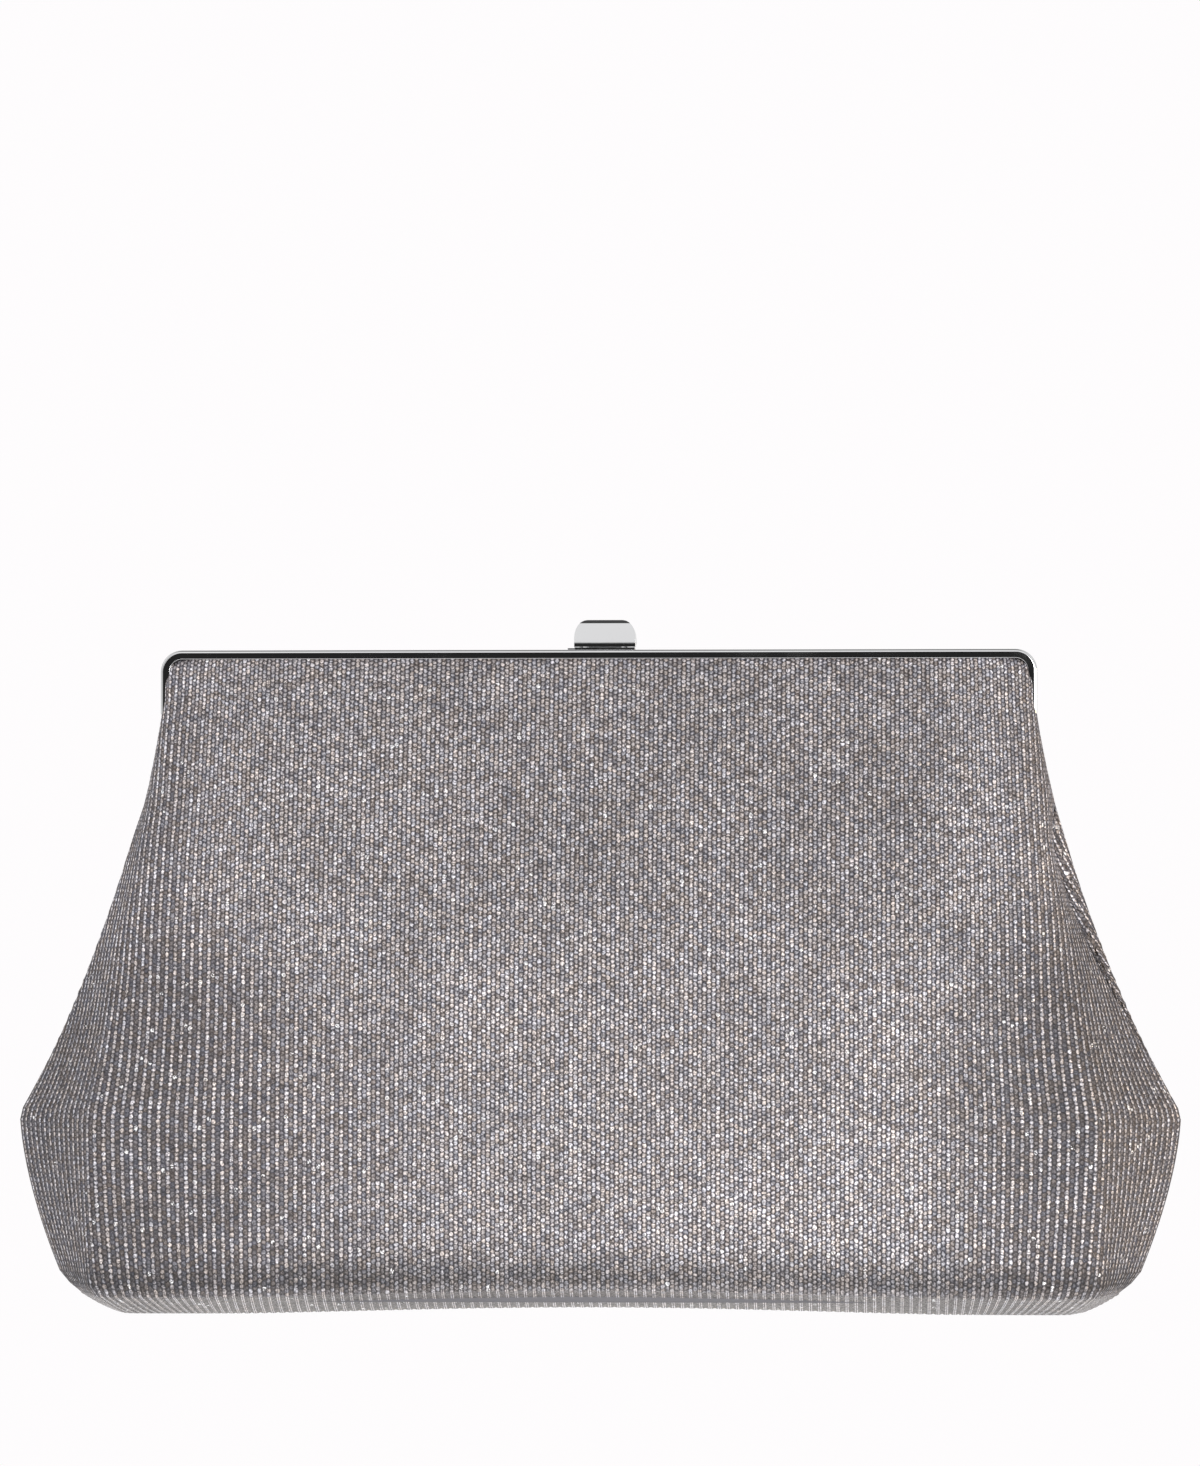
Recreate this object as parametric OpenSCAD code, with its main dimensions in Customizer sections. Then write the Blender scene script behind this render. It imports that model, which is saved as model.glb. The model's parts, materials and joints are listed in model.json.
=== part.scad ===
// Framed evening bag: a soft ribbed body hung in a hinged two-part metal frame, with a
// press clasp on top. Front is -Y, +X is to the right, and z = 0 is the base it stands on.

/* [Body] */
// Width across the widest part of the body
bag_width = 269.6; // [240:0.2:330]
// Height from the base to the top of the closed frame
bag_height = 153.4; // [140:0.2:190]
// Depth from front to back at the belly
bag_depth = 52; // [42:0.5:66]
// Height of the widest part of the body
widest_height = 46; // [36:0.5:60]
// Height at which the front is deepest
belly_height = 26; // [16:0.5:36]
// How far each side draws in between the widest part and the base
base_draw_in = 14.4; // [8:0.2:22]
// Height of the slanted edge round the base
base_edge_height = 4.5; // [3:0.1:8]
// How far the slanted edge comes in under the front and back
base_edge_depth = 12; // [6:0.5:16]
// Distance from the side seam to the front ridge at the widest part
ridge_setback = 19.8; // [10:0.2:28]

/* [Frame] */
// Width of the frame, outside to outside
frame_width = 203; // [168:0.5:246]
// Length of the straight arms of the rim, from the top
arm_length = 14.9; // [10:0.1:24]
// Outer radius of the two top corners
corner_radius = 5; // [5:0.1:9]
// Depth of one channel, from its front lip to the closing plane
channel_depth = 4.2; // [3.8:0.1:6]
// Height of the visible front lip
lip_height = 2.1; // [1.6:0.1:3]
// Reach of the hidden inner flange
flange_reach = 4.5; // [3:0.1:4.8]
// Thickness of the rim's outer wall
rim_wall = 0.8; // [0.6:0.1:1]
// Thickness of the lip and of the flange
sheet_wall = 0.7; // [0.5:0.1:0.9]
// Gap from each half of the frame to the closing plane
closing_gap = 0.15; // [0.1:0.05:0.4]

/* [Hinge] */
// Distance from the top of the frame down to the hinge axis
hinge_drop = 50.4; // [44:0.2:60]
// Radius of the hinge rivets
rivet_r = 1; // [0.8:0.05:1.4]
// Radial running clearance of the rivets and the clasp pin
running_clearance = 0.05; // [0.02:0.01:0.1]
// Radius of the hinge eyes
eye_r = 4; // [3:0.1:5]
// Thickness of the hinge straps and eyes
strap_thickness = 1.2; // [0.8:0.1:1.6]
// Width of the hinge straps, front to back
strap_width = 2.65; // [2:0.05:3]
// Thickness of the washer between the eyes
washer_thickness = 0.3; // [0.2:0.05:0.5]

/* [Clasp] */
// Width of the clasp tab
tab_width = 14.2; // [10:0.1:20]
// Height of the clasp tab
tab_height = 6.25; // [5:0.05:8]
// How far the tab sits to the right of the frame's middle
tab_shift = 1.6; // [0:0.1:3]
// Wall of the hollow tab
tab_wall = 0.8; // [0.5:0.1:1]
// Radius of the clasp pin
pin_r = 0.6; // [0.4:0.05:0.8]
// Thickness of the clasp's base plate and of the strike plate
plate_thickness = 0.5; // [0.4:0.1:0.8]
// Width of the clasp's base plate
plate_width = 14.3; // [12:0.1:22]
// Width of the latch tongue
tongue_width = 7.6; // [5:0.1:9]

/* [Materials] */
// Thickness of the knitted outer cover
cover_thickness = 1.2; // [0.8:0.1:1.6]
// Thickness of the wadding behind the cover
padding_thickness = 1; // [0.6:0.1:2]
// Thickness of the stiffening boards
board_thickness = 1; // [0.6:0.1:1.6]
// Thickness of the satin lining
lining_thickness = 0.4; // [0.3:0.1:0.8]
// Gap left between layers
layer_gap = 0.2; // [0.1:0.05:0.4]

/* [Pocket] */
// Width of the slip pocket
pocket_width = 90; // [60:1:120]
// Height of the slip pocket
pocket_height = 52; // [36:1:60]
// Clear room inside the slip pocket, front to back
pocket_room = 5; // [4.5:0.1:8]

/* [Hidden] */
$fn = 48;
slack = 0.1;
seam_gap = 0.15;
half_width = bag_width / 2;
half_frame = frame_width / 2;
half_depth = bag_depth / 2;
arm_end = bag_height - arm_length;
hinge_z = bag_height - hinge_drop;
lip_end = bag_height - lip_height;

// Flare of the sides: a slope at the end of the rim's arms that steepens down to the widest part.
flare_slope = 0.16;
flare_drop = arm_end - widest_height;
flare_bend = (half_width - half_frame - flare_slope * flare_drop) / pow(flare_drop, 2);
draw_in_power = 1.58;
corner_rx = 13;
corner_rz = 9.5;
top_setback = 3.5;

// Half-width inside the rim's arms, and how the covers follow its rounded corners.
inner_half = half_frame - rim_wall - slack;
bend_x = half_frame - corner_radius;
bend_z = bag_height - corner_radius;
bend_r = corner_radius - rim_wall - slack;
cover_top_z = bag_height - rim_wall - 0.7;
top_half_depth = channel_depth - sheet_wall - slack;
flange_front = closing_gap + sheet_wall + seam_gap;

// Levels where the parts that turn with the frame meet the parts that stay with the body.
top_parts_z = hinge_z + 0.5;
cover_end_z = hinge_z - 5.5;
lining_end_z = hinge_z - 18;
board_end_z = hinge_z - 13;
base_start_z = base_edge_height + slack;

function corner_cut(z) =
    z < corner_rz ? corner_rx * (1 - sqrt(1 - pow((corner_rz - z) / corner_rz, 2))) : 0;
function flare(t) = flare_slope * t + flare_bend * t * t;
function side_x(z) =
    z >= arm_end ? half_frame
    : z >= widest_height ? half_frame + flare(arm_end - z)
    : half_width - base_draw_in * pow((widest_height - z) / widest_height, draw_in_power)
        - corner_cut(z);
function cover_x(z) =
    z > bend_z ? bend_x + sqrt(pow(bend_r, 2) - pow(z - bend_z, 2))
    : z >= arm_end ? inner_half : side_x(z);
function setback(z) =
    z >= arm_end ? top_setback
    : z >= widest_height
        ? top_setback + (ridge_setback - top_setback) * pow((arm_end - z) / flare_drop, 1.5)
    : max(6, cover_x(z) - (half_width - ridge_setback - 0.8 * corner_cut(z)));
function bulge(z) =
    top_half_depth + (half_depth - top_half_depth)
        * pow(sin(90 * min(1, (lip_end - min(z, lip_end)) / (lip_end - belly_height))), 0.9);
function depth_y(z) =
    z < base_edge_height
        ? bulge(z) - 1 - base_edge_depth * (base_edge_height - z) / base_edge_height
    : z < belly_height ? bulge(z) - pow((belly_height - z) / (belly_height - base_edge_height), 2)
    : bulge(z);

// The lining hangs from the frame's opening and only reaches the sides lower down.
lining_top_half = half_frame - 7.5;
lining_side_gap = 5.5;
lining_flare_z = hinge_z - 5;
lining_flare_end = side_x(widest_height) - lining_side_gap;
function lining_x(z) =
    z >= lining_flare_z ? lining_top_half
    : z >= widest_height
        ? lining_top_half + (lining_flare_end - lining_top_half)
            * pow((lining_flare_z - z) / (lining_flare_z - widest_height), 1.5)
    : side_x(z) - lining_side_gap;

// One half of a level section, from the left seam round the front to the right seam.
// x is the half-width at the seam, s the setback of the ridge, d the half-depth,
// inset the distance inward, and seam_y how far the panel's edge stops short of y = 0.
function half_section(x, s, d, inset, seam_y) =
    let (
        facet = sqrt(s * s + d * d),
        nx = d / facet,
        ny = s / facet,
        seam_x = x - inset / nx,
        ridge_x = x - s - inset * (1 - ny) / nx,
        ridge_y = d - inset,
        round_x = ridge_x + 0.2 * (seam_x - ridge_x),
        round_y = ridge_y - 0.2 * ridge_y,
        flat_x = ridge_x - 3,
        right = [[flat_x, -ridge_y], [round_x, -round_y], [seam_x, -seam_y]]
    )
    concat([for (i = [2:-1:0]) [-right[i][0], right[i][1]]], right);

function cover_section(z, inset, seam_y) =
    half_section(cover_x(z), setback(z), depth_y(z), inset, seam_y);
function lining_setback(z) = z >= lining_flare_z ? top_setback : min(lining_flare_z - z, 10);
function lining_section(z, inset, seam_y) =
    half_section(lining_x(z), max(top_setback, lining_setback(z)), depth_y(z), inset, seam_y);
function levels(z0, z1, step) =
    let (count = max(1, ceil((z1 - z0) / step)))
    [for (i = [0:count]) z0 + (z1 - z0) * i / count];

// A bent panel of even thickness, lofted through closed rings of outer and inner points.
module panel(rings) {
    count = len(rings[0]);
    half = count / 2;
    last = len(rings) - 1;
    sides = [
        for (k = [0:last - 1], i = [0:count - 1])
            let (a = k * count + i, b = k * count + (i + 1) % count)
            each [[a, b, a + count], [b, b + count, a + count]]
    ];
    ends = [
        for (i = [0:half - 2])
            let (a = i, b = i + 1, c = count - 2 - i, d = count - 1 - i, e = last * count)
            each [[a, c, b], [a, d, c], [e + a, e + b, e + c], [e + a, e + c, e + d]]
    ];
    polyhedron([for (ring = rings) each ring], concat(sides, ends), convexity = 6);
}

function reversed(list) = [for (i = [len(list) - 1:-1:0]) list[i]];
function at_level(points, z) = [for (p = points) [p[0], p[1], z]];

module cover_panel(zs, outer, inner) {
    panel([
        for (z = zs)
            let (seam = z >= arm_end ? flange_front : seam_gap)
            at_level(concat(cover_section(z, outer, seam), reversed(cover_section(z, inner, seam))), z)
    ]);
}

module lining_panel(zs, outer, inner) {
    panel([
        for (z = zs)
            let (seam = z >= hinge_z ? flange_front : seam_gap)
            at_level(concat(lining_section(z, outer, seam), reversed(lining_section(z, inner, seam))), z)
    ]);
}

// Room under the clasp's slot, which the covers and the cord are notched to leave clear.
module clasp_notch() {
    translate([tab_shift - 5.5, -channel_depth, cover_top_z - 1.6])
        cube([11, 2 * channel_depth, 4]);
}

function body_heights(z0, z1) =
    concat(levels(z0, corner_rz, 2.5), levels(corner_rz + 4, widest_height, 7), levels(widest_height + 6, z1, 7));
body_levels = body_heights(base_start_z, cover_end_z);
top_levels = concat(
    levels(top_parts_z, arm_end - 1, 7), levels(arm_end, bend_z, 5), levels(bend_z + 1.2, cover_top_z, 1)
);
padding_in = cover_thickness + layer_gap;
board_in = padding_in + padding_thickness + layer_gap;
lining_in = board_in + board_thickness + layer_gap;
top_lining_in = cover_thickness + 0.15;

module front_cover() {
    color("silver") cover_panel(body_levels, 0, cover_thickness);
}

module rear_cover() {
    color("silver") mirror([0, 1, 0]) cover_panel(body_levels, 0, cover_thickness);
}

module front_cover_top() {
    color("silver") difference() {
        cover_panel(top_levels, 0, cover_thickness);
        clasp_notch();
    }
}

module rear_cover_top() {
    color("silver") mirror([0, 1, 0]) cover_panel(top_levels, 0, cover_thickness);
}

// A whole level section of the body, drawn flat, for the pieces that close its base.
module plan(z, inset) {
    front = cover_section(z, inset, 0);
    polygon(concat(front, [for (i = [4:-1:1]) [front[i][0], -front[i][1]]]));
}

module slab(z, inset, thickness) {
    translate([0, 0, z]) linear_extrude(thickness) plan(z, inset);
}

module base_cover() {
    rim = 0.05;
    color("silver") difference() {
        hull() {
            slab(0, 0, rim);
            slab(base_edge_height / 3, 0, rim);
            slab(base_edge_height - rim, 0, rim);
        }
        hull() {
            slab(cover_thickness, cover_thickness, rim);
            slab(base_edge_height, cover_thickness, rim);
        }
    }
}

base_board_z = cover_thickness + layer_gap;
base_lining_z = base_board_z + board_thickness + layer_gap;

module base_board() {
    color("burlywood") translate([0, 0, base_board_z])
        linear_extrude(board_thickness) plan(base_board_z, cover_thickness + 2 * layer_gap);
}

module base_lining() {
    corner = half_section(
        lining_x(base_lining_z), 10, depth_y(base_lining_z), cover_thickness + 2 * layer_gap, 0
    );
    color("slategray") translate([0, 0, base_lining_z])
        linear_extrude(lining_thickness)
            polygon(concat(corner, [for (i = [4:-1:1]) [corner[i][0], -corner[i][1]]]));
}

// A sheet that follows the front's profile, cut straight at the sides.
function profile(z0, z1, outer, inner) =
    let (zs = levels(z0, z1, 8))
    concat([for (z = zs) [depth_y(z) - outer, z]], [for (z = reversed(zs)) [depth_y(z) - inner, z]]);

module sheet_x(x0, x1, z0, z1, outer, inner) {
    translate([x0, 0, 0]) rotate([90, 0, 90])
        linear_extrude(x1 - x0) polygon(profile(z0, z1, outer, inner));
}

sheet_half = half_frame - 6;
module padding() {
    color("white")
        sheet_x(-sheet_half, sheet_half, base_start_z + 1, board_end_z, padding_in, padding_in + padding_thickness);
}

module board() {
    color("burlywood")
        sheet_x(-sheet_half, sheet_half, base_start_z + 1, board_end_z, board_in, board_in + board_thickness);
}

module front_padding() { mirror([0, 1, 0]) padding(); }

module rear_padding() { padding(); }

module front_board() { mirror([0, 1, 0]) board(); }

module rear_board() { board(); }

lining_start_z = base_start_z + 0.3;
lining_levels = body_heights(lining_start_z, lining_end_z);

module front_lining() {
    color("slategray") lining_panel(lining_levels, lining_in, lining_in + lining_thickness);
}

module rear_lining() { mirror([0, 1, 0]) front_lining(); }

module front_lining_top() {
    color("slategray") difference() {
        lining_panel(top_levels, top_lining_in, top_lining_in + lining_thickness);
        clasp_notch();
    }
}

module rear_lining_top() {
    color("slategray") mirror([0, 1, 0])
        lining_panel(top_levels, top_lining_in, top_lining_in + lining_thickness);
}

pocket_z = board_end_z - 8 - pocket_height;
pocket_back = lining_in + lining_thickness + slack;
pocket_front = pocket_back + pocket_room;
pocket_sheet = 0.6;
pocket_half = pocket_width / 2;

module slip_pocket() {
    top = pocket_z + pocket_height;
    outer = pocket_front + pocket_sheet;
    color("slategray") {
        sheet_x(-pocket_half, pocket_half, pocket_z, top, pocket_front, outer);
        for (side = [-pocket_half, pocket_half - pocket_sheet])
            sheet_x(side, side + pocket_sheet, pocket_z, top, pocket_back, outer);
        sheet_x(-pocket_half, pocket_half, pocket_z, pocket_z + pocket_sheet, pocket_back, outer);
    }
}

module pocket_trim() {
    low = pocket_z + pocket_height;
    color("silver")
        sheet_x(-pocket_half, pocket_half, low, low + 1.6, pocket_front - 0.2, pocket_front + pocket_sheet + 0.2);
}

// Section of the channel: x runs inward from the rim's outer edge, y forward of the closing plane.
module channel() {
    square_at(0, rim_wall, closing_gap, channel_depth);
    square_at(0, lip_height, channel_depth - sheet_wall, channel_depth);
    square_at(0, flange_reach, closing_gap, closing_gap + sheet_wall);
}

module square_at(x0, x1, y0, y1) {
    translate([x0, y0]) square([x1 - x0, y1 - y0]);
}

module rim() {
    translate([0, 0, bag_height]) rotate([0, 90, 180])
        linear_extrude(2 * bend_x, center = true) channel();
    for (side = [0, 1]) mirror([side, 0, 0]) {
        translate([half_frame, 0, arm_end]) rotate([0, 0, 180])
            linear_extrude(bend_z - arm_end) channel();
        translate([bend_x, 0, bend_z]) rotate([90, 0, 0])
            rotate_extrude(angle = 90) translate([corner_radius, 0]) mirror([1, 0]) channel();
    }
}

module along_x(x0, x1, y, z, r) {
    translate([x0, y, z]) rotate([0, 90, 0]) cylinder(r = r, h = x1 - x0);
}

front_strap_x = half_frame - 3.9;
rear_strap_x = front_strap_x - strap_thickness - washer_thickness - 2 * running_clearance;

// A strap runs from the flange of the arm down to the hinge eye.
module strap(x) {
    translate([x, -closing_gap - sheet_wall, arm_end - 3])
        cube([front_strap_x + strap_thickness - x, sheet_wall, 8]);
    translate([x, -closing_gap - strap_width, hinge_z])
        cube([strap_thickness, strap_width, arm_end - 1.5 - hinge_z]);
    along_x(x, x + strap_thickness, 0, hinge_z, eye_r);
}

module frame_half(x) {
    rim();
    for (side = [0, 1]) mirror([side, 0, 0]) strap(x);
}

module eye_bores(x) {
    for (side = [0, 1]) mirror([side, 0, 0])
        along_x(x - 1, x + strap_thickness + 1, 0, hinge_z, rivet_r + running_clearance);
}

plate_z = bag_height + plate_thickness;
slot_half = tongue_width / 2 + 0.7;
slot_y0 = 1.5;
slot_y1 = 3.3;
plate_rivet_r = 0.5;
plate_rivet_y = 2.4;
strike_half = 7;
strike_rivet_x = 6;
base_rivet_x = plate_width / 2 - 1.9;

module latch_slot(z0, z1) {
    translate([tab_shift - slot_half, -slot_y1, z0]) cube([2 * slot_half, slot_y1 - slot_y0, z1 - z0]);
}

module front_frame() {
    color("gainsboro") difference() {
        frame_half(front_strap_x);
        eye_bores(front_strap_x);
        latch_slot(bag_height - rim_wall - 1, plate_z);
        plate_rivet_holes(strike_rivet_x, -plate_rivet_y);
    }
}

module rear_frame() {
    color("gainsboro") difference() {
        mirror([0, 1, 0]) frame_half(rear_strap_x);
        eye_bores(rear_strap_x);
        plate_rivet_holes(base_rivet_x, plate_rivet_y);
    }
}

module plate_rivet_holes(x, y) {
    shift = y < 0 ? tab_shift : 0;
    for (side = [-1, 1])
        translate([shift + side * x, y, bag_height - rim_wall - 1]) cylinder(r = plate_rivet_r, h = 4);
}

module plate_rivets(x, y, head) {
    shift = y < 0 ? tab_shift : 0;
    for (side = [-1, 1]) translate([shift + side * x, y, bag_height - rim_wall - head]) {
        cylinder(r = plate_rivet_r, h = rim_wall + plate_thickness + head);
        cylinder(r = 0.9, h = head);
    }
}

module strike_plate() {
    color("gainsboro") difference() {
        translate([tab_shift - strike_half, -channel_depth + 0.2, bag_height])
            cube([2 * strike_half, channel_depth - 0.6, plate_thickness]);
        latch_slot(bag_height - 1, plate_z + 1);
        plate_rivet_holes(strike_rivet_x, -plate_rivet_y);
    }
}

module strike_rivets() {
    color("gainsboro") plate_rivets(strike_rivet_x, -plate_rivet_y, 0.4);
}

// The cord fills the room that the cover and the lining leave in the channel.
cord_slack = 0.05;
cord_back = closing_gap + sheet_wall + cord_slack;
cord_r = (top_half_depth - top_lining_in - lining_thickness - cord_slack - cord_back) / 2;
cord_half = lining_top_half - 2 * top_setback;
module channel_cord() {
    along_x(-cord_half, cord_half, -(cord_back + cord_r), cover_top_z - 0.4, cord_r);
}

module front_channel_cord() {
    color("tan") difference() {
        channel_cord();
        clasp_notch();
    }
}

module rear_channel_cord() {
    color("tan") mirror([0, 1, 0]) channel_cord();
}

rivet_head_r = 1.9;
rivet_head = 0.8;
module hinge_rivet(side) {
    x0 = rear_strap_x - running_clearance;
    x1 = front_strap_x + strap_thickness + running_clearance;
    color("gainsboro") mirror([side, 0, 0]) {
        along_x(x0 - rivet_head, x1 + rivet_head, 0, hinge_z, rivet_r);
        along_x(x0 - rivet_head, x0, 0, hinge_z, rivet_head_r);
        along_x(x1, x1 + rivet_head, 0, hinge_z, rivet_head_r);
    }
}

module hinge_rivet_left() { hinge_rivet(1); }

module hinge_rivet_right() { hinge_rivet(0); }

module hinge_washer(side) {
    x0 = rear_strap_x + strap_thickness + running_clearance;
    color("white") mirror([side, 0, 0]) difference() {
        along_x(x0, x0 + washer_thickness, 0, hinge_z, eye_r - 0.3);
        along_x(x0 - 1, x0 + washer_thickness + 1, 0, hinge_z, rivet_r + running_clearance);
    }
}

module hinge_washer_left() { hinge_washer(1); }

module hinge_washer_right() { hinge_washer(0); }

tab_z = plate_z + 0.15;
tab_front = 3.4;
tab_back = 4.2;
pin_y = 2;
pin_z = plate_z + 1.3;
tab_x0 = tab_shift - tab_width / 2;
tab_x1 = tab_shift + tab_width / 2;
cheek = 0.8;
cheek_r = 1.15;
cheek_foot = 1.9;
cheek_x0 = tab_x0 + tab_wall + 0.25;
cheek_x1 = plate_width / 2 - cheek - 0.5;

module clasp_base() {
    color("gainsboro") difference() {
        union() {
            translate([-plate_width / 2, 0.3, bag_height]) cube([plate_width, tab_back - 0.3, plate_thickness]);
            for (x = [cheek_x0, cheek_x1]) {
                translate([x, pin_y - cheek_r, plate_z]) cube([cheek, cheek_foot, pin_z - plate_z]);
                along_x(x, x + cheek, pin_y, pin_z, cheek_r);
            }
        }
        along_x(tab_x0, tab_x1, pin_y, pin_z, pin_r + running_clearance);
        plate_rivet_holes(base_rivet_x, plate_rivet_y);
    }
}

module clasp_base_rivets() {
    color("gainsboro") plate_rivets(base_rivet_x, plate_rivet_y, 0.4);
}

// Front outline of the tab, its upper corners quarter ellipses.
module tab_outline(inset) {
    half = tab_width / 2 - inset;
    top = tab_height - inset;
    rx = 3 - inset / 2;
    rz = 4.2 - inset / 2;
    arc = [for (a = [0:15:90]) [half - rx + rx * cos(a), top - rz + rz * sin(a)]];
    polygon(concat([[-half, -inset], [half, -inset]], arc, [for (p = reversed(arc)) [-p[0], p[1]]]));
}

// Side profile of the tab: upright front, bevelled top edge, and a lower edge that rises
// behind the pin so that the tab can tip back.
module tab_side(inset) {
    bevel = 0.8;
    low = inset > 0 ? -1 : 0;
    polygon([
        [-tab_front + inset, low], [-tab_front + inset, tab_height - bevel - inset],
        [-tab_front + bevel + inset, tab_height - inset], [tab_back - 2.4, tab_height - inset],
        [tab_back - inset, tab_height - 2.4 - inset], [tab_back - inset, inset > 0 ? -1 : 0.9],
        [pin_y + 0.6, inset > 0 ? -1 : 0.9], [pin_y - 0.9, low]
    ]);
}

module tab_form(inset) {
    intersection() {
        translate([tab_shift, tab_back + 1, tab_z]) rotate([90, 0, 0])
            linear_extrude(tab_front + tab_back + 2) tab_outline(inset);
        translate([tab_x0 - 1, 0, tab_z]) rotate([90, 0, 90])
            linear_extrude(tab_width + 2) tab_side(inset);
    }
}

module clasp_tab() {
    color("gainsboro") difference() {
        tab_form(0);
        tab_form(tab_wall);
        along_x(tab_x0 - 1, tab_x1 + 1, pin_y, pin_z, pin_r);
    }
}

module clasp_pin() {
    color("gainsboro") along_x(tab_x0, tab_x1, pin_y, pin_z, pin_r);
}

wire_r = 0.18;
coil_r = 0.95;
coil_turns = 4;
coil_x = cheek_x0 + cheek + 0.4;
function coil_point(a) = [coil_x + wire_r + a / 360 * 0.55, pin_y - coil_r * cos(a), pin_z + coil_r * sin(a)];
// Bent leg to the tab's roof, the coil, then the leg along the base plate.
coil_path = concat(
    [[coil_x + wire_r, pin_y - coil_r, pin_z + 2.6]],
    [for (a = [0:20:360 * coil_turns - 90]) coil_point(a)],
    [[coil_point(360 * coil_turns - 90)[0], pin_y - 1.7, pin_z - coil_r]]
);

function unit(v) = v / norm(v);
// A round wire swept along a path, one ring of points at each of its points.
module wire(path, r, sides) {
    last = len(path) - 1;
    points = [
        for (i = [0:last])
            let (
                ahead = unit(path[min(i + 1, last)] - path[max(i - 1, 0)]),
                across = unit(cross(ahead, [1, 0.01, 0.02])),
                up = cross(ahead, across)
            )
            each [for (k = [0:sides - 1])
                path[i] + r * (cos(360 * k / sides) * across + sin(360 * k / sides) * up)]
    ];
    tube = [
        for (i = [0:last - 1], k = [0:sides - 1])
            let (a = i * sides + k, b = i * sides + (k + 1) % sides)
            each [[a, b, a + sides], [b, b + sides, a + sides]]
    ];
    ends = [[for (k = [sides - 1:-1:0]) k], [for (k = [0:sides - 1]) last * sides + k]];
    polyhedron(points, concat([for (f = tube) reversed(f)], [for (f = ends) reversed(f)]));
}

module clasp_spring() {
    color("gray") wire(coil_path, wire_r, 8);
}

// Spring tongue: it hangs behind the tab's front wall and hooks under the frame through the slot.
tongue_y = 2.3;
tongue_thickness = 0.25;
module clasp_latch() {
    low = bag_height - rim_wall - 0.4;
    color("gray") translate([tab_shift - tongue_width / 2, 0, 0]) {
        translate([0, -tongue_y, low]) cube([tongue_width, tongue_thickness, tab_z + 3.2 - low]);
        translate([0, -tongue_y - 0.45, low]) cube([tongue_width, 0.5, 0.3]);
        translate([0, -tab_front + tab_wall, tab_z + 2.4])
            cube([tongue_width, tab_front - tab_wall - tongue_y + 0.1, 0.8]);
    }
}

front_cover();
rear_cover();
base_cover();
front_cover_top();
rear_cover_top();
front_padding();
rear_padding();
front_board();
rear_board();
base_board();
front_lining();
rear_lining();
base_lining();
front_lining_top();
rear_lining_top();
slip_pocket();
pocket_trim();
front_frame();
rear_frame();
front_channel_cord();
rear_channel_cord();
hinge_rivet_left();
hinge_rivet_right();
hinge_washer_left();
hinge_washer_right();
clasp_base();
clasp_base_rivets();
clasp_tab();
clasp_pin();
clasp_spring();
clasp_latch();
strike_plate();
strike_rivets();
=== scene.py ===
# %% [markdown]
# # A framed evening bag
#
# The bag is one bag of ribbed glitter knit, pinched into a hinged channel frame of polished
# metal, with a small press clasp on top. The CAD frame gives every place and size. This
# notebook puts the cloth, the metal and the finishes round it.

# %% Load the frame
import json
import math

import bmesh
import bpy
import numpy as np
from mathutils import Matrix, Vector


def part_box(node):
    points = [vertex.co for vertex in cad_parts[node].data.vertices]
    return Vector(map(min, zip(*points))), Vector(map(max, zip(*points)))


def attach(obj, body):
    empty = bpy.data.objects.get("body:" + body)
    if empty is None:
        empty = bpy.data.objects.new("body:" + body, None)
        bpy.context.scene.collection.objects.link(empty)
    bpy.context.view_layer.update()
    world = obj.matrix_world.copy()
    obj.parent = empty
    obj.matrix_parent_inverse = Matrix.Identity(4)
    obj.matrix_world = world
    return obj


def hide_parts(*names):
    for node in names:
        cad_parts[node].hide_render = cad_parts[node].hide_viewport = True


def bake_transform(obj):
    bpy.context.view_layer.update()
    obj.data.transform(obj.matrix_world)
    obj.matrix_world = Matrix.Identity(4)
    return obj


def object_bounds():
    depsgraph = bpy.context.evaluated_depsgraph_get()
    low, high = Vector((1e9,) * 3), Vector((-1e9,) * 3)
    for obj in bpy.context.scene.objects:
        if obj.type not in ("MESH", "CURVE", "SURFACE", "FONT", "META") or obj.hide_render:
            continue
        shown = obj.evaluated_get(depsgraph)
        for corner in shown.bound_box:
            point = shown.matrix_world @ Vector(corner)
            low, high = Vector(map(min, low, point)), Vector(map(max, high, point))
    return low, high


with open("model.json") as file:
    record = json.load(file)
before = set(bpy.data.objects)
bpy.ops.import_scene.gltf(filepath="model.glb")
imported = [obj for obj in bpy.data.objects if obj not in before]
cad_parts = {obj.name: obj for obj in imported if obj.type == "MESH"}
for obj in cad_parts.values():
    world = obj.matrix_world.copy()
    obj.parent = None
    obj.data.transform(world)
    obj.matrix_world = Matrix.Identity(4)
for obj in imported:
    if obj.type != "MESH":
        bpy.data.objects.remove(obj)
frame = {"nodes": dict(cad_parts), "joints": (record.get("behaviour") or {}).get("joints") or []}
cad_box = [list(corner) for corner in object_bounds()]
MM = 0.001
print("CAD box in mm:", [[round(v / MM, 1) for v in corner] for corner in cad_box])

# %% [markdown]
# ## Camera and studio
#
# A long lens from 1.6 metres away keeps the bag's sides nearly parallel. The camera looks
# level from the height of the bag's middle, and its vertical shift, not a tilt, leaves the
# white space above the bag, so upright lines stay upright. It stands slightly to the right.

# %% Camera
FRAME_SPAN = 340.1 * MM
CAMERA_DISTANCE = 1600 * MM
CAMERA_HEIGHT = 78 * MM
CAMERA_AZIMUTH = math.radians(2.4)
VIEW_CENTRE_X = 0.35 * MM
VIEW_CENTRE_Z = 134.2 * MM
SENSOR = 36

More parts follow.
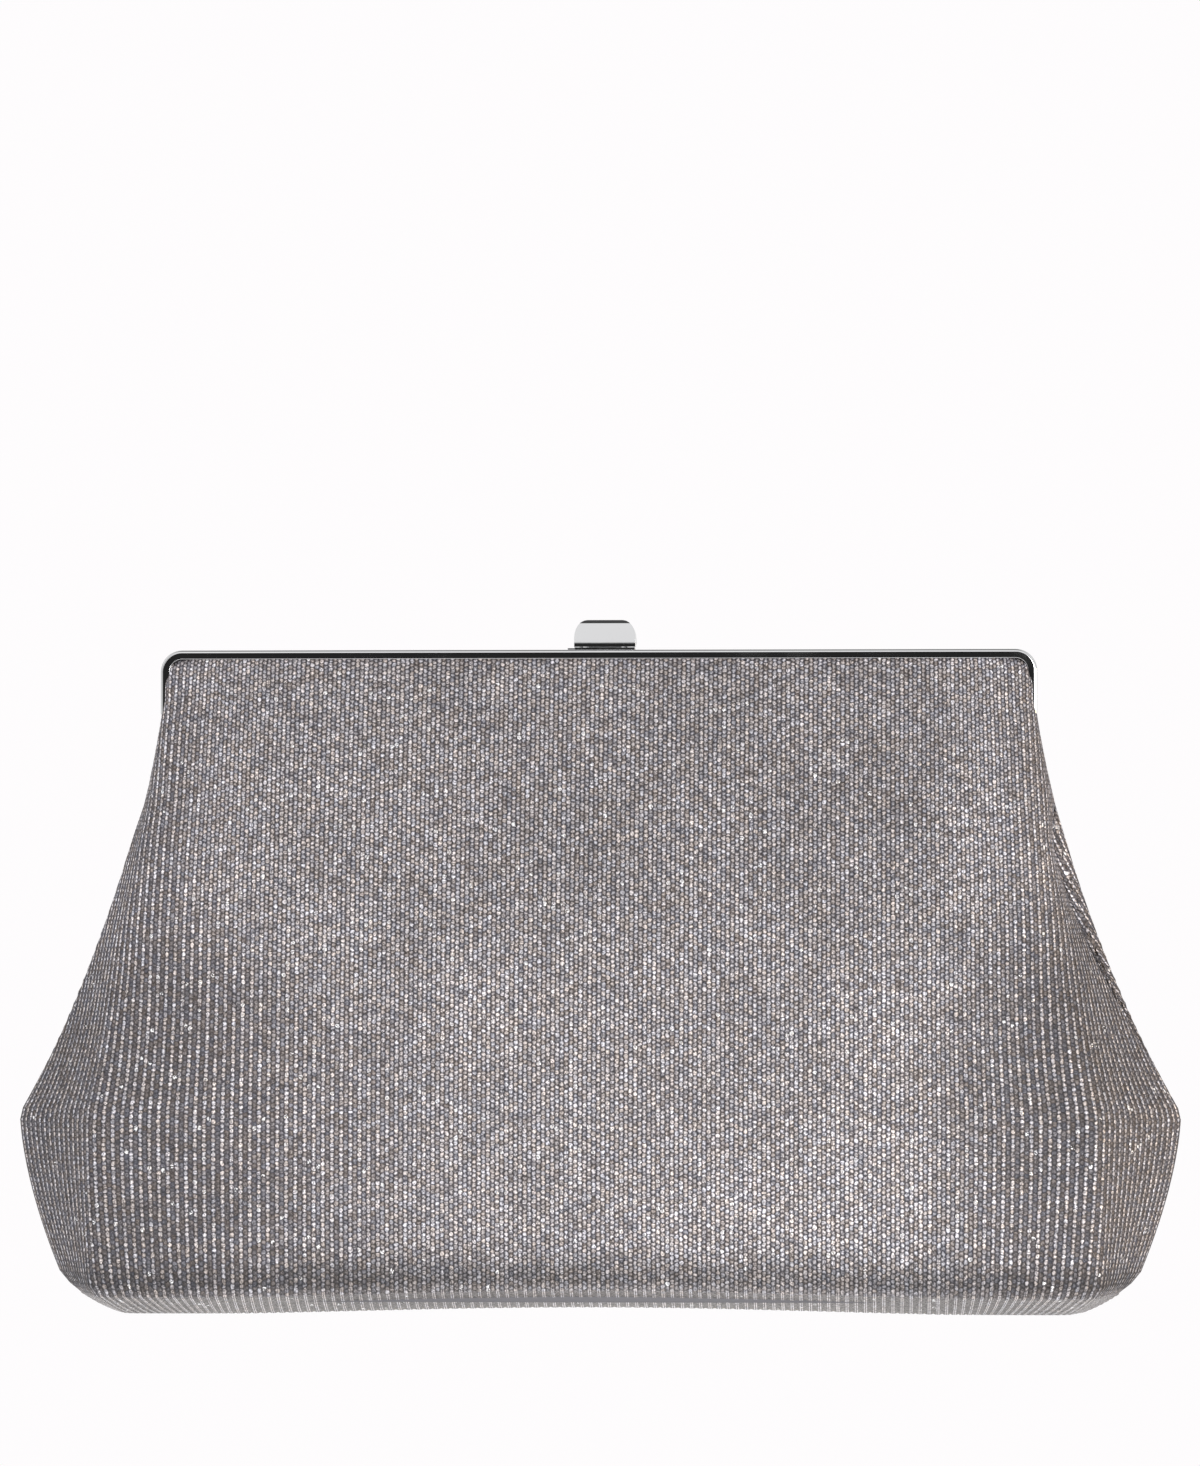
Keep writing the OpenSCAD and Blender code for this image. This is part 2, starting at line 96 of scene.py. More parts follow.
camera_data = bpy.data.cameras.new("camera")
camera_data.sensor_width = SENSOR
camera_data.lens = SENSOR * CAMERA_DISTANCE / FRAME_SPAN
camera_data.shift_x = VIEW_CENTRE_X / FRAME_SPAN
camera_data.shift_y = (VIEW_CENTRE_Z - CAMERA_HEIGHT) / FRAME_SPAN
camera_data.clip_start = 0.05
camera_data.clip_end = 20
camera = bpy.data.objects.new("camera", camera_data)
camera.location = (
    CAMERA_DISTANCE * math.sin(CAMERA_AZIMUTH),
    -CAMERA_DISTANCE * math.cos(CAMERA_AZIMUTH),
    CAMERA_HEIGHT,
)
camera.rotation_euler = (math.pi / 2, 0, CAMERA_AZIMUTH)
scene = bpy.context.scene
scene.collection.objects.link(camera)
scene.camera = camera
scene.view_settings.view_transform = "Standard"
print("lens:", round(camera_data.lens, 1), "mm")

# %% [markdown]
# ## Shader maths as plain expressions
#
# A finish is a small sum over the surface: which rib, which stitch, how high. Blender writes
# such sums as Math nodes. One small class wraps a socket, so that `1 - wave * 0.5` adds the
# nodes by itself, and one method makes every other node.

# %% Finish builder
def operator(operation, swapped=False):
    """A method of Value that adds one Math node."""

    def method(self, *others):
        values = (*others, self) if swapped else (self, *others)
        return self.finish.maths(operation, *values)

    return method


class Value:
    """A number that varies over the surface, held in a node's socket."""

    def __init__(self, finish, socket):
        self.finish = finish
        self.socket = socket

    __add__ = operator("ADD")
    __radd__ = operator("ADD")
    __sub__ = operator("SUBTRACT")
    __rsub__ = operator("SUBTRACT", swapped=True)
    __mul__ = operator("MULTIPLY")
    __rmul__ = operator("MULTIPLY")
    __gt__ = operator("GREATER_THAN")
    fract = operator("FRACT")
    floor = operator("FLOOR")
    sin = operator("SINE")
    abs = operator("ABSOLUTE")
    at_least = operator("MAXIMUM")
    at_most = operator("MINIMUM")

    def ramp(self, low, high, to_low=0.0, to_high=1.0):
        return self.finish.node(
            "ShaderNodeMapRange", {"interpolation_type": "SMOOTHSTEP"},
            {0: self, 1: low, 2: high, 3: to_low, 4: to_high},
        )


class Finish:
    """A procedural material, built node by node round one Principled shader."""

    def __init__(self, name):
        self.material = bpy.data.materials.new(name)
        self.material.use_nodes = True
        self.tree = self.material.node_tree
        self.shader = self.tree.nodes["Principled BSDF"]

    def node(self, kind, settings=None, inputs=None, output=0):
        made = self.tree.nodes.new(kind)
        for key, value in (settings or {}).items():
            setattr(made, key, value)
        for key, value in (inputs or {}).items():
            self.put(made.inputs[key], value)
        return Value(self, made.outputs[output])

    def put(self, socket, value):
        if isinstance(value, Value):
            self.tree.links.new(value.socket, socket)
        else:
            socket.default_value = value

    def maths(self, operation, *values):
        return self.node("ShaderNodeMath", {"operation": operation}, dict(enumerate(values)))

    def mix(self, share, first, second):
        return self.node(
            "ShaderNodeMix", {"data_type": "RGBA"}, {0: share, 6: first, 7: second}, output=2
        )

    def tint(self, colour, share):
        """A colour times a number."""
        level = self.node("ShaderNodeCombineColor", inputs={0: share, 1: share, 2: share})
        return self.node(
            "ShaderNodeMix", {"data_type": "RGBA", "blend_type": "MULTIPLY"},
            {0: 1.0, 6: colour, 7: level}, output=2,
        )

    def place(self):
        """Object coordinates, in metres."""
        return self.node("ShaderNodeTexCoord", output=3)

    def split(self, vector):
        return [self.node("ShaderNodeSeparateXYZ", inputs={0: vector}, output=i) for i in range(3)]

    def join(self, x, y, z=0.0):
        return self.node("ShaderNodeCombineXYZ", inputs={0: x, 1: y, 2: z})

    def noise(self, scale, vector=None, detail=3.0, roughness=0.5):
        return self.node(
            "ShaderNodeTexNoise", {},
            {"Vector": vector or self.place(), "Scale": scale, "Detail": detail, "Roughness": roughness},
        )

    def random(self, vector):
        return self.node("ShaderNodeTexWhiteNoise", {"noise_dimensions": "3D"}, {"Vector": vector})

    def bump(self, height, strength, distance):
        return self.node(
            "ShaderNodeBump", {}, {"Height": height, "Strength": strength, "Distance": distance}
        )

    def finish(self, **sockets):
        for name, value in sockets.items():
            self.put(self.shader.inputs[name.replace("_", " ")], value)
        return self.material


def grey(level):
    return (level, level, level, 1.0)


# %% [markdown]
# ## Studio light
#
# Polished metal shows nothing but its surroundings, so the surroundings are the light: a
# pale ground, a bright sky above it, a small dark patch overhead, grey cards at the four
# corners of the room and, in front only, a dark strip at eye level that upright metal
# mirrors. The camera itself sees plain white.

# %% World
PAPER_WHITE = (0.99, 0.975, 0.983, 1)

world = bpy.data.worlds.new("studio")
scene.world = world
world.use_nodes = True


class Sky(Finish):
    """The same node helpers on a world's tree."""

    def __init__(self, target):
        self.tree = target.node_tree
        self.tree.nodes.clear()


SKY_STOPS = [
    # sine of the elevation, brightness
    (-1.0, 1.30), (-0.30, 1.15), (-0.05, 0.80), (0.15, 0.82), (0.30, 0.86), (0.45, 0.95),
    (0.62, 0.90), (0.80, 0.72), (0.94, 0.50), (0.980, 0.08), (1.0, 0.05),
]
CARD_SHARE = 0.45
STRIP_MIDDLE = 0.005
STRIP_EDGES = (0.115, 0.165)
STRIP_SIDES = (0.72, 0.90)


def studio_sky():
    sky = Sky(world)
    x, y, height = sky.split(sky.node("ShaderNodeTexCoord", output=0))
    ramp = sky.node("ShaderNodeValToRGB", inputs={0: (height + 1) * 0.5})
    stops = ramp.socket.node.color_ramp.elements
    for sine, level in SKY_STOPS[1:-1]:
        stops.new((sine + 1) / 2)
    for stop, (sine, level) in zip(stops, SKY_STOPS):
        stop.position = (sine + 1) / 2
        stop.color = grey(level / 2)
    strip = (1 - (height - STRIP_MIDDLE).abs().ramp(*STRIP_EDGES)) * (0 - y).ramp(*STRIP_SIDES)
    cards = (x * y * 2).abs().ramp(0.25, 0.9) * CARD_SHARE
    lit = sky.node("ShaderNodeBackground", inputs={0: ramp, 1: (2 - strip * 1.95) * (1 - cards)})
    plain = sky.node("ShaderNodeBackground", inputs={0: PAPER_WHITE, 1: 1.0})
    seen = sky.node("ShaderNodeLightPath", output=0)
    mixed = sky.node("ShaderNodeMixShader", inputs={0: seen, 1: lit, 2: plain})
    out = sky.tree.nodes.new("ShaderNodeOutputWorld")
    sky.tree.links.new(mixed.socket, out.inputs[0])


studio_sky()


LIGHT_AIM = (0, 0, 0.08)


def area_light(name, place, size, power, colour=(1, 1, 1), mirrored=True):
    """A square soft light that looks at the middle of the bag."""
    data = bpy.data.lights.new(name, "AREA")
    data.size = size
    data.energy = power
    data.color = colour
    light = bpy.data.objects.new(name, data)
    light.location = place
    light.visible_glossy = mirrored
    to = np.array(LIGHT_AIM) - np.array(place)
    pitch = math.acos(-to[2] / np.linalg.norm(to))
    light.rotation_euler = (pitch, 0, math.atan2(-to[0], to[1]))
    scene.collection.objects.link(light)


area_light("key", (0.70, -1.25, 0.06), 0.8, 13)
area_light("fill", (-1.2, -0.50, 0.35), 0.8, 10, mirrored=False)
area_light("warm_side", (1.0, -0.15, 0.12), 0.3, 2.0, colour=(1.0, 0.70, 0.36))

# %% [markdown]
# ## The knit
#
# The cover is a rib knit of dull pewter yarn with a metallic thread. Each rib is a column of
# small round stitches on a crest, which catch the light, beside a sunken column of the same
# stitches half a row lower. The cloth carries a UV map counted in ribs across and in stitches
# along, so the pattern follows the cloth over every bend. The relief of the ribs is real
# geometry; the stitches and the flecks of the thread are bump and colour. Its rare bright
# glints are painted: a few stitches are coloured white, with more metal and less roughness.
# Yarn is never quite even, so the stitches wander a little and differ in light. Three
# attributes painted on the mesh say how much painted shade the sunken columns get, most on
# the side facets, where the cloth is stretched over the base's edge, and how much painted
# light and shade the cloth gets: brighter over the belly and beside the frame's arms, and
# darker just above the base's edge.

# %% Knit finish
RIB = 2.1 * MM
STITCH = 1.07 * MM
FLECKS = (7, 4)
# Share of stitches that get a painted glint: white colour, more metal, less roughness.
PAINTED_GLINT_SHARE = 0.014


def knit_finish():
    f = Finish("cover_knit")
    ribs, stitches, _ = f.split(f.node("ShaderNodeUVMap", {"uv_map": "cloth"}))
    # Painted shade for the sunken columns, read from the mesh.
    painted_valley_shade = f.node("ShaderNodeAttribute", {"attribute_name": "painted_valley_shade"}, output=2)
    stretched = f.node("ShaderNodeAttribute", {"attribute_name": "stretched"}, output=2)
    # Painted light and shade, read from the mesh: brighter over the belly and beside the arms, darker
    # just above the base's edge.
    painted_light = f.node("ShaderNodeAttribute", {"attribute_name": "painted_light"}, output=2)
    sway = f.noise(1.0, f.join(ribs * 1.7, stitches * 0.8), detail=2) - 0.5
    slip = f.noise(1.0, f.join(ribs * 1.9 + 40, stitches * 1.1), detail=2) - 0.5
    column = ribs * 2 + 0.5 + sway * 0.5
    number = column.floor()
    crest = (number * 0.5).fract() * 2
    across = (column.fract() - 0.5) * 2
    row = stitches + crest * 0.5 + slip * 1.2
    along = (row.fract() - 0.5) * 2
    chance = f.random(f.join(number, row.floor()))
    hue = f.random(f.join(row.floor() + 31.7, number))
    bead = (1.05 + chance * 0.3 - across * across * 1.3 - along * along * 1.15).at_least(0).at_most(1)
    fleck = f.random(f.join((ribs * FLECKS[0]).floor(), (stitches * FLECKS[1]).floor(), 7.3))
    streak = f.noise(1.0, f.join(number * 3.1, stitches * 0.45), detail=1).ramp(0.35, 0.65, 0.80, 1.1)
    # A painted glint: a few stitches turn white, with more metal and less roughness.
    painted_glint = (chance > 1 - PAINTED_GLINT_SHARE) * (fleck > 0.5) * bead
    # Crests stay full; the sunken columns get painted shade.
    painted_column_shade = crest + (1 - crest) * (1 - painted_valley_shade * 0.80)
    cloudy = f.noise(26, detail=2).ramp(0.3, 0.7, 0.90, 1.10)
    from_crest = (ribs.fract() - 0.5).abs()
    thread_line = (1 - (from_crest - 0.11).abs() * 15).at_least(0) * 1.25
    lit = bead * painted_column_shade * (0.50 + chance * 0.50) * streak
    lit = lit + (thread_line - lit) * stretched
    gap = f.mix(hue, (0.052, 0.039, 0.034, 1), (0.038, 0.038, 0.052, 1))
    gap = f.mix(stretched, gap, (0.185, 0.172, 0.168, 1))
    yarn = f.mix(hue, (0.68, 0.605, 0.58, 1), (0.67, 0.655, 0.71, 1))
    # Random tone of the yarn, times the painted light and shade.
    shade = cloudy * (0.42 + fleck * 1.16) * painted_light
    colour = f.tint(f.mix(lit, gap, yarn), shade)
    # Painted glints: white colour on a few stitches.
    colour = f.mix(painted_glint, colour, (1.0, 0.99, 1.0, 1))
    height = bead + fleck * 0.35
    return f.finish(
        Base_Color=colour,
        Metallic=lit * 0.5 + painted_glint * 0.3,
        Roughness=0.50 - lit * 0.15 - painted_glint * 0.1,
        Normal=f.bump(height, 0.8, 0.20 * MM),
    )


KNIT = knit_finish()

# %% [markdown]
# ## Other finishes
#
# Polished chrome, brushed spring steel, pressed card, wadding, twisted paper, satin and
# nylon each get grain at their own scale.

# %% Metal, card and lining finishes
def chrome_finish():
    f = Finish("chrome")
    smear = f.noise(90, detail=4)
    scratch = f.noise(900, f.node("ShaderNodeMapping", {}, {0: f.place(), 3: (1, 8, 8)}), detail=2)
    return f.finish(
        Base_Color=(0.83, 0.83, 0.84, 1), Metallic=1.0,
        Roughness=smear.ramp(0.35, 0.75, 0.035, 0.10),
        Normal=f.bump(scratch, 0.04, 0.02 * MM),
    )


def steel_finish():
    f = Finish("spring_steel")
    grain = f.noise(1500, f.node("ShaderNodeMapping", {}, {0: f.place(), 3: (12, 1, 1)}), detail=3)
    return f.finish(
        Base_Color=f.mix(grain, (0.38, 0.39, 0.41, 1), (0.56, 0.57, 0.59, 1)), Metallic=1.0,
        Roughness=grain.ramp(0.2, 0.8, 0.25, 0.42), Normal=f.bump(grain, 0.15, 0.03 * MM),
    )


def card_finish():
    f = Finish("board")
    pulp = f.noise(420, detail=5)
    return f.finish(
        Base_Color=f.mix(pulp, (0.42, 0.33, 0.22, 1), (0.60, 0.50, 0.36, 1)),
        Roughness=0.9, Normal=f.bump(pulp, 0.3, 0.1 * MM),
    )


def wadding_finish():
    f = Finish("wadding")
    fluff = f.noise(700, detail=6, roughness=0.7)
    return f.finish(
        Base_Color=f.mix(fluff, (0.70, 0.70, 0.67, 1), (0.90, 0.90, 0.88, 1)),
        Roughness=1.0, Normal=f.bump(fluff, 0.6, 0.4 * MM),
    )


def paper_cord_finish():
    f = Finish("paper_cord")
    x, y, z = f.split(f.place())
    twist = ((x * 3800 + z * 5200 + y * 5200).sin() + 1) * 0.5
    return f.finish(
        Base_Color=f.mix(twist, (0.38, 0.28, 0.16, 1), (0.66, 0.54, 0.36, 1)),
        Roughness=0.85, Normal=f.bump(twist, 0.5, 0.1 * MM),
    )


def satin_finish(name="lining_satin", low=(0.115, 0.112, 0.122, 1), high=(0.185, 0.180, 0.195, 1)):
    f = Finish(name)
    thread = f.noise(1600, f.node("ShaderNodeMapping", {}, {0: f.place(), 3: (1, 1, 9)}), detail=2)
    cloud = f.noise(24, detail=2)
    f.shader.inputs["Sheen Weight"].default_value = 0.3
    f.shader.inputs["Sheen Roughness"].default_value = 0.35
    return f.finish(
        Base_Color=f.mix(thread * 0.7 + cloud * 0.3, low, high),
        Roughness=thread.ramp(0.2, 0.8, 0.30, 0.44), Normal=f.bump(thread, 0.25, 0.06 * MM),
    )


def nylon_finish():
    f = Finish("nylon")
    speck = f.noise(600)
    return f.finish(
        Base_Color=f.mix(speck, (0.78, 0.78, 0.75, 1), (0.88, 0.88, 0.86, 1)), Roughness=0.45,
        Normal=f.bump(speck, 0.1, 0.05 * MM),
    )


CHROME = chrome_finish()
STEEL = steel_finish()
CARD = card_finish()
WADDING = wadding_finish()
PAPER = paper_cord_finish()
SATIN = satin_finish()
BINDING = satin_finish("pocket_binding", (0.055, 0.054, 0.060, 1), (0.095, 0.093, 0.104, 1))
NYLON = nylon_finish()
THREAD = satin_finish("sewing_thread", (0.20, 0.195, 0.21, 1), (0.34, 0.33, 0.35, 1))

# %% [markdown]
# ## The bag's form
#
# A level cut through the bag is a long box with slanted ends: a flat front, a soft ridge at
# each side, and a facet running back to the side seam. Three sizes change with height: the
# half-width at the seam, the half-depth, and how far the ridge stands in from the seam.
# Beside the hinge the seam is drawn in, and one panel puffs out past the other.

# %% Sizes from the frame
HALF_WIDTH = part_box("front_cover")[1][0]
HALF_FRAME, _, FRAME_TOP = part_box("front_frame")[1]
HALF_DEPTH = -cad_box[0][1]
HINGE_Z = next(j for j in frame["joints"] if j["name"] == "front_open")["pos_m"][2]
BASE_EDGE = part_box("base_cover")[1][2]
WIDEST_Z = 46 * MM
BELLY_Z = 26 * MM
ARM_END = FRAME_TOP - 14.9 * MM
LIP = 2.1 * MM
CHANNEL = 4.2 * MM
FLARE_SLOPE = 0.16
DRAW_IN = 13.4 * MM
RIDGE_SETBACK = 19.8 * MM
TOP_SETBACK = 1.2 * MM
half_sizes = (HALF_WIDTH, HALF_FRAME, HALF_DEPTH)
print("half width, half frame, half depth in mm:", *[round(size / MM, 1) for size in half_sizes])


def smooth(t):
    t = np.clip(t, 0, 1)
    return t * t * (3 - 2 * t)


def side_x(z):
    """Half-width at the side seam."""
    drop = ARM_END - WIDEST_Z
    bend = (HALF_WIDTH - HALF_FRAME - FLARE_SLOPE * drop) / drop**2
    t = np.clip(ARM_END - z, 0, drop)
    flare = HALF_FRAME + FLARE_SLOPE * t + bend * t * t
    low = np.clip((WIDEST_Z - z) / WIDEST_Z, 0, 1) ** 1.62 * DRAW_IN
    corner = 3.0 * MM * np.clip((8.5 * MM - z) / (4 * MM), 0, 1) ** 1.25
    return flare - low - corner


CLOTH_CORNER = 5.1 * MM
ARM_EDGE = 0.6 * MM


def cloth_x(z):
    """Half-width of the cloth, which bulges over the rim's arms and tucks in at the top."""
    rise = np.clip(z - (FRAME_TOP - 6.6 * MM), 0, CLOTH_CORNER * 0.999)
    rounded = CLOTH_CORNER - np.sqrt(CLOTH_CORNER**2 - rise**2)
    tucked = HALF_FRAME - ARM_EDGE - rounded
    share = smooth((z - (ARM_END - 1 * MM)) / (4 * MM))
    return side_x(z) * (1 - share) + tucked * share


def half_depth(z):
    """Half-depth of the front and rear faces."""
    top = CHANNEL - 0.8 * MM
    share = np.clip((FRAME_TOP - LIP - z) / (FRAME_TOP - LIP - BELLY_Z), 0, 1)
    bulge = top + (HALF_DEPTH - top) * np.sin(np.pi / 2 * share) ** 0.9
    under = np.clip((BELLY_Z - z) / (BELLY_Z - BASE_EDGE), 0, 1)
    return bulge - 1 * MM * under**2


def setback(z):
    """How far the ridge stands in from the side seam."""
    share = np.clip((ARM_END - z) / (ARM_END - WIDEST_Z), 0, 1) ** 1.5
    high = TOP_SETBACK + (RIDGE_SETBACK - TOP_SETBACK) * share
    low = cloth_x(z) - (HALF_WIDTH - RIDGE_SETBACK)
    return np.where(z < WIDEST_Z, np.maximum(low, 7 * MM), high)


def ridge_radius(z):
    """The ridge is crisp low down and fades into a soft shoulder above."""
    return (5 + 16 * smooth((z - 45 * MM) / (55 * MM))) * MM


TUCK = 3.4 * MM


def side_tuck(z):
    """How far the side seam is drawn in between the panels, most beside the hinge."""
    fades_up = smooth((HINGE_Z + 17 * MM - z) / (14 * MM))
    return TUCK * fades_up * smooth((z - WIDEST_Z - 4 * MM) / (50 * MM))


def half_outline(x, s, d, radius, tuck=0.0, puffed=False, dense=30):
    """Right half of one level cut, from the middle of the front to the side seam.

    A puffed panel swells past the drawn-in seam and curls back to it; the panel that meets
    it there runs straight to the seam.
    """
    ridge = np.array([x - s, -d])
    seam = np.array([x - tuck, 0.0])
    aim = np.array([x, -1.2 * tuck]) if puffed else seam
    facet = aim - ridge
    length = np.linalg.norm(facet)
    facet /= length
    turn = math.acos(facet[0])
    reach = min(radius * math.tan(turn / 2), 0.45 * length)
    radius = reach / math.tan(turn / 2)
    centre = np.array([ridge[0] - reach, -d + radius])
    angles = np.linspace(-np.pi / 2, -np.pi / 2 + turn, dense)
    arc = centre + radius * np.stack([np.cos(angles), np.sin(angles)], 1)
    flat = np.stack([np.linspace(0, arc[0][0], dense, endpoint=False), np.full(dense, -d)], 1)
    side = arc[-1] + np.outer(np.linspace(0, 1, dense + 1)[1:], aim - arc[-1])
    t = np.linspace(0, 1, 9)[1:, None]
    round_it = np.array([x + 0.15 * tuck, -0.1 * tuck])
    curl = aim * (1 - t) ** 2 + round_it * 2 * t * (1 - t) + seam * t**2
    return np.concatenate([flat, arc, side, curl])


FLANGE_ROOM = 1.3 * MM


def behind_flange(outline, z):
    """Between the rim's arms the cloth's edge keeps behind the flange of its own half."""
    inset = FLANGE_ROOM * float(smooth((z - ARM_END + 2 * MM) / (3 * MM)))
    moved = outline.copy()
    moved[:, 1] = outline[:, 1] * (1 + inset / outline[0, 1]) - inset
    return moved


def sample_outline(outline, lengths):
    """Points at these distances along an outline, held at its end."""
    steps = np.linalg.norm(np.diff(outline, axis=0), axis=1)
    run = np.concatenate([[0], np.cumsum(steps)])
    at = np.minimum(lengths, run[-1])
    return np.stack([np.interp(at, run, outline[:, 0]), np.interp(at, run, outline[:, 1])], 1)


ARCH = 1.7 * MM


def arch(x):
    """The base lifts a little between its ends."""
    return ARCH * np.cos(np.clip(x / (104 * MM), -1, 1) * np.pi / 2) ** 2


# %% [markdown]
# ## Meshes from grids
#
# Cloth panels are grids: rows down the bag, columns across. A column keeps the same distance
# along the cloth from the middle of the front, as a knitted rib does. Where a row is shorter
# than its columns reach, the columns end together at the side seam and are merged there.

# %% Grid helper
def link(name, mesh):
    thing = bpy.data.objects.new(name, mesh)
    scene.collection.objects.link(thing)
    return thing


def paint(thing, material):
    thing.data.materials.clear()
    thing.data.materials.append(material)


def shade_smooth(thing):
    thing.data.polygons.foreach_set("use_smooth", [True] * len(thing.data.polygons))


def finish_mesh(thing, material):
    paint(thing, material)
    shade_smooth(thing)
    thing.data.update()
    return thing


MERGE_CLOTH = 0.005 * MM


def grid_piece(name, points, uv, material):
    """A sheet from rows x columns of points, with a cloth UV map; repeated points are merged."""
    rows, columns, _ = points.shape
    index = np.arange(rows * columns).reshape(rows, columns)
    quads = np.stack([index[:-1, :-1], index[1:, :-1], index[1:, 1:], index[:-1, 1:]], -1)
    quads = quads.reshape(-1, 4)
    mesh = bpy.data.meshes.new(name)
    mesh.from_pydata(points.reshape(-1, 3).tolist(), [], quads.tolist())
    layer = mesh.uv_layers.new(name="cloth")
    flat_uv = uv.reshape(-1, 2)[quads.reshape(-1)]
    layer.data.foreach_set("uv", flat_uv.astype(np.float32).ravel())
    work = bmesh.new()
    work.from_mesh(mesh)
    bmesh.ops.remove_doubles(work, verts=work.verts, dist=MERGE_CLOTH)
    work.to_mesh(mesh)
    work.free()
    return finish_mesh(link(name, mesh), material)


def apply_modifiers(thing):
    """Bakes the object's modifiers into a plain mesh."""
    graph = bpy.context.evaluated_depsgraph_get()
    graph.update()
    mesh = bpy.data.meshes.new_from_object(thing.evaluated_get(graph))
    mesh.name = thing.name
    old = thing.data
    thing.modifiers.clear()
    thing.data = mesh
    bpy.data.meshes.remove(old)
    return thing


def thicken(thing, thickness, offset=-1.0):
    solid = thing.modifiers.new("thickness", "SOLIDIFY")
    solid.thickness = thickness
    solid.offset = offset
    solid.use_even_offset = False
    return apply_modifiers(thing)


# %% [markdown]
# ## Ribs by Geometry Nodes
#
# Every rib repeats one small rule: a point rises along the surface's normal by an amount that
# depends only on where it lies between two valleys. A Geometry Nodes tree states that rule
# once. Its height and finish are named inputs, and each point's place among the ribs is an
# attribute on the mesh. This bag needs three such trees, so a small class makes the inputs
# that they share and ends each tree in the same way.

# %% Geometry Nodes helpers
class Tree:
    """A Geometry Nodes tree with named inputs, ended by Realize Instances and Set Material."""

    def __init__(self, name, sizes):
        self.tree = bpy.data.node_groups.new(name, "GeometryNodeTree")
        sockets = self.tree.interface
        sockets.new_socket("Geometry", in_out="INPUT", socket_type="NodeSocketGeometry")
        for size in sizes:
            sockets.new_socket(size, in_out="INPUT", socket_type="NodeSocketFloat")
        sockets.new_socket("Finish", in_out="INPUT", socket_type="NodeSocketMaterial")
        sockets.new_socket("Geometry", in_out="OUTPUT", socket_type="NodeSocketGeometry")
        self.given = self.tree.nodes.new("NodeGroupInput").outputs

    def add(self, kind, inputs=None, **settings):
        """A node whose inputs are sockets to link or plain values; gives its first output."""
        node = self.tree.nodes.new(kind)
        for key, value in settings.items():
            setattr(node, key, value)
        for key, value in (inputs or {}).items():
            if isinstance(value, bpy.types.NodeSocket):
                self.tree.links.new(value, node.inputs[key])
            else:
                node.inputs[key].default_value = value
        return node.outputs[0]

    def maths(self, operation, *values):
        return self.add("ShaderNodeMath", dict(enumerate(values)), operation=operation)

    def ended(self, geometry):
        real = self.add("GeometryNodeRealizeInstances", {0: geometry})
        inputs = {"Geometry": real, "Material": self.given["Finish"]}
        painted = self.add("GeometryNodeSetMaterial", inputs)
        self.tree.links.new(painted, self.tree.nodes.new("NodeGroupOutput").inputs[0])
        return self.tree


def run_tree(thing, tree, inputs):
    """Runs a tree on an object with these named inputs, and leaves a plain mesh."""
    modifier = thing.modifiers.new(tree.name, "NODES")
    modifier.node_group = tree
    for item in tree.interface.items_tree:
        if item.in_out == "INPUT" and item.name in inputs:
            modifier[item.identifier] = inputs[item.name]
    return apply_modifiers(thing)


# %% Rib relief tree
CREST_SHARPNESS = 0.6


def rib_tree():
    tree = Tree("rib_relief", ["Height"])
    named = "GeometryNodeInputNamedAttribute"
    rib = tree.add(named, {"Name": "rib"}, data_type="FLOAT")
    fade = tree.add(named, {"Name": "relief"}, data_type="FLOAT")
    phase = tree.maths("FRACT", rib)
    wave = tree.maths("SINE", tree.maths("MULTIPLY", phase, math.pi))
    crest = tree.maths("POWER", tree.maths("MAXIMUM", wave, 0.0), CREST_SHARPNESS)
    rise = tree.maths("MULTIPLY", tree.maths("MULTIPLY", crest, fade), tree.given["Height"])
    normal = tree.add("GeometryNodeInputNormal")
    offset = tree.add("ShaderNodeVectorMath", {0: normal, "Scale": rise}, operation="SCALE")
    moved = {"Geometry": tree.given["Geometry"], "Offset": offset}
    return tree.ended(tree.add("GeometryNodeSetPosition", moved))


RIB_TREE = rib_tree()


def point_attribute(thing, name, values):
    layer = thing.data.attributes.new(name, "FLOAT", "POINT")
    layer.data.foreach_set("value", np.asarray(values, np.float32))


# %% [markdown]
# ## The outer cover
#
# Front and back are each one panel: from behind the frame's lip, down over the belly, round
# the slanted base edge and under the bag to the middle of its base. The ribs run straight in
# the middle and crowd towards the sides, where they follow the silhouette.

# %% Rows and columns of the cover
COLUMNS_PER_RIB = 4
TOP_Z = FRAME_TOP - 1.5 * MM
CORNERS_END = FRAME_TOP - 9 * MM
CORNER_ROWS = 7
FACE_ROWS = 52
RIB_HEIGHT = 0.30 * MM
COVER_THICKNESS = 0.8 * MM
BASE_SLANT = 12 * MM
END_SLANT = 5.5 * MM
FAN_START = 66 * MM
EDGE_TURN = 2.2 * MM


def cover_rows():
    """Heights of the rows: closer together in the frame's corners than below them."""
    upper = np.linspace(TOP_Z, CORNERS_END, CORNER_ROWS)[:-1]
    lower = np.linspace(CORNERS_END, BASE_EDGE + EDGE_TURN, FACE_ROWS)
    return np.concatenate([upper, lower])


def outline_at(z, puffed):
    sizes = (float(v) for v in (cloth_x(z), setback(z), half_depth(z), ridge_radius(z)))
    return behind_flange(half_outline(*sizes, tuck=float(side_tuck(z)), puffed=puffed), z)


def outline_length(outline):
    return np.linalg.norm(np.diff(outline, axis=0), axis=1).sum()


WIDEST_REACH = max(outline_length(outline_at(z, True)) for z in cover_rows())
print("cloth from middle to seam at the widest:", round(WIDEST_REACH / MM, 1), "mm")


def fanned(from_middle, z, reach):
    """Where a rib lies along the cloth: towards the sides the ribs crowd together."""
    kept = 1 - 0.5 * smooth((z - WIDEST_Z) / (45 * MM))
    spare = (WIDEST_REACH - reach) * kept
    share = np.clip((from_middle - FAN_START) / (WIDEST_REACH - FAN_START), 0, None)
    return from_middle - spare * share**2


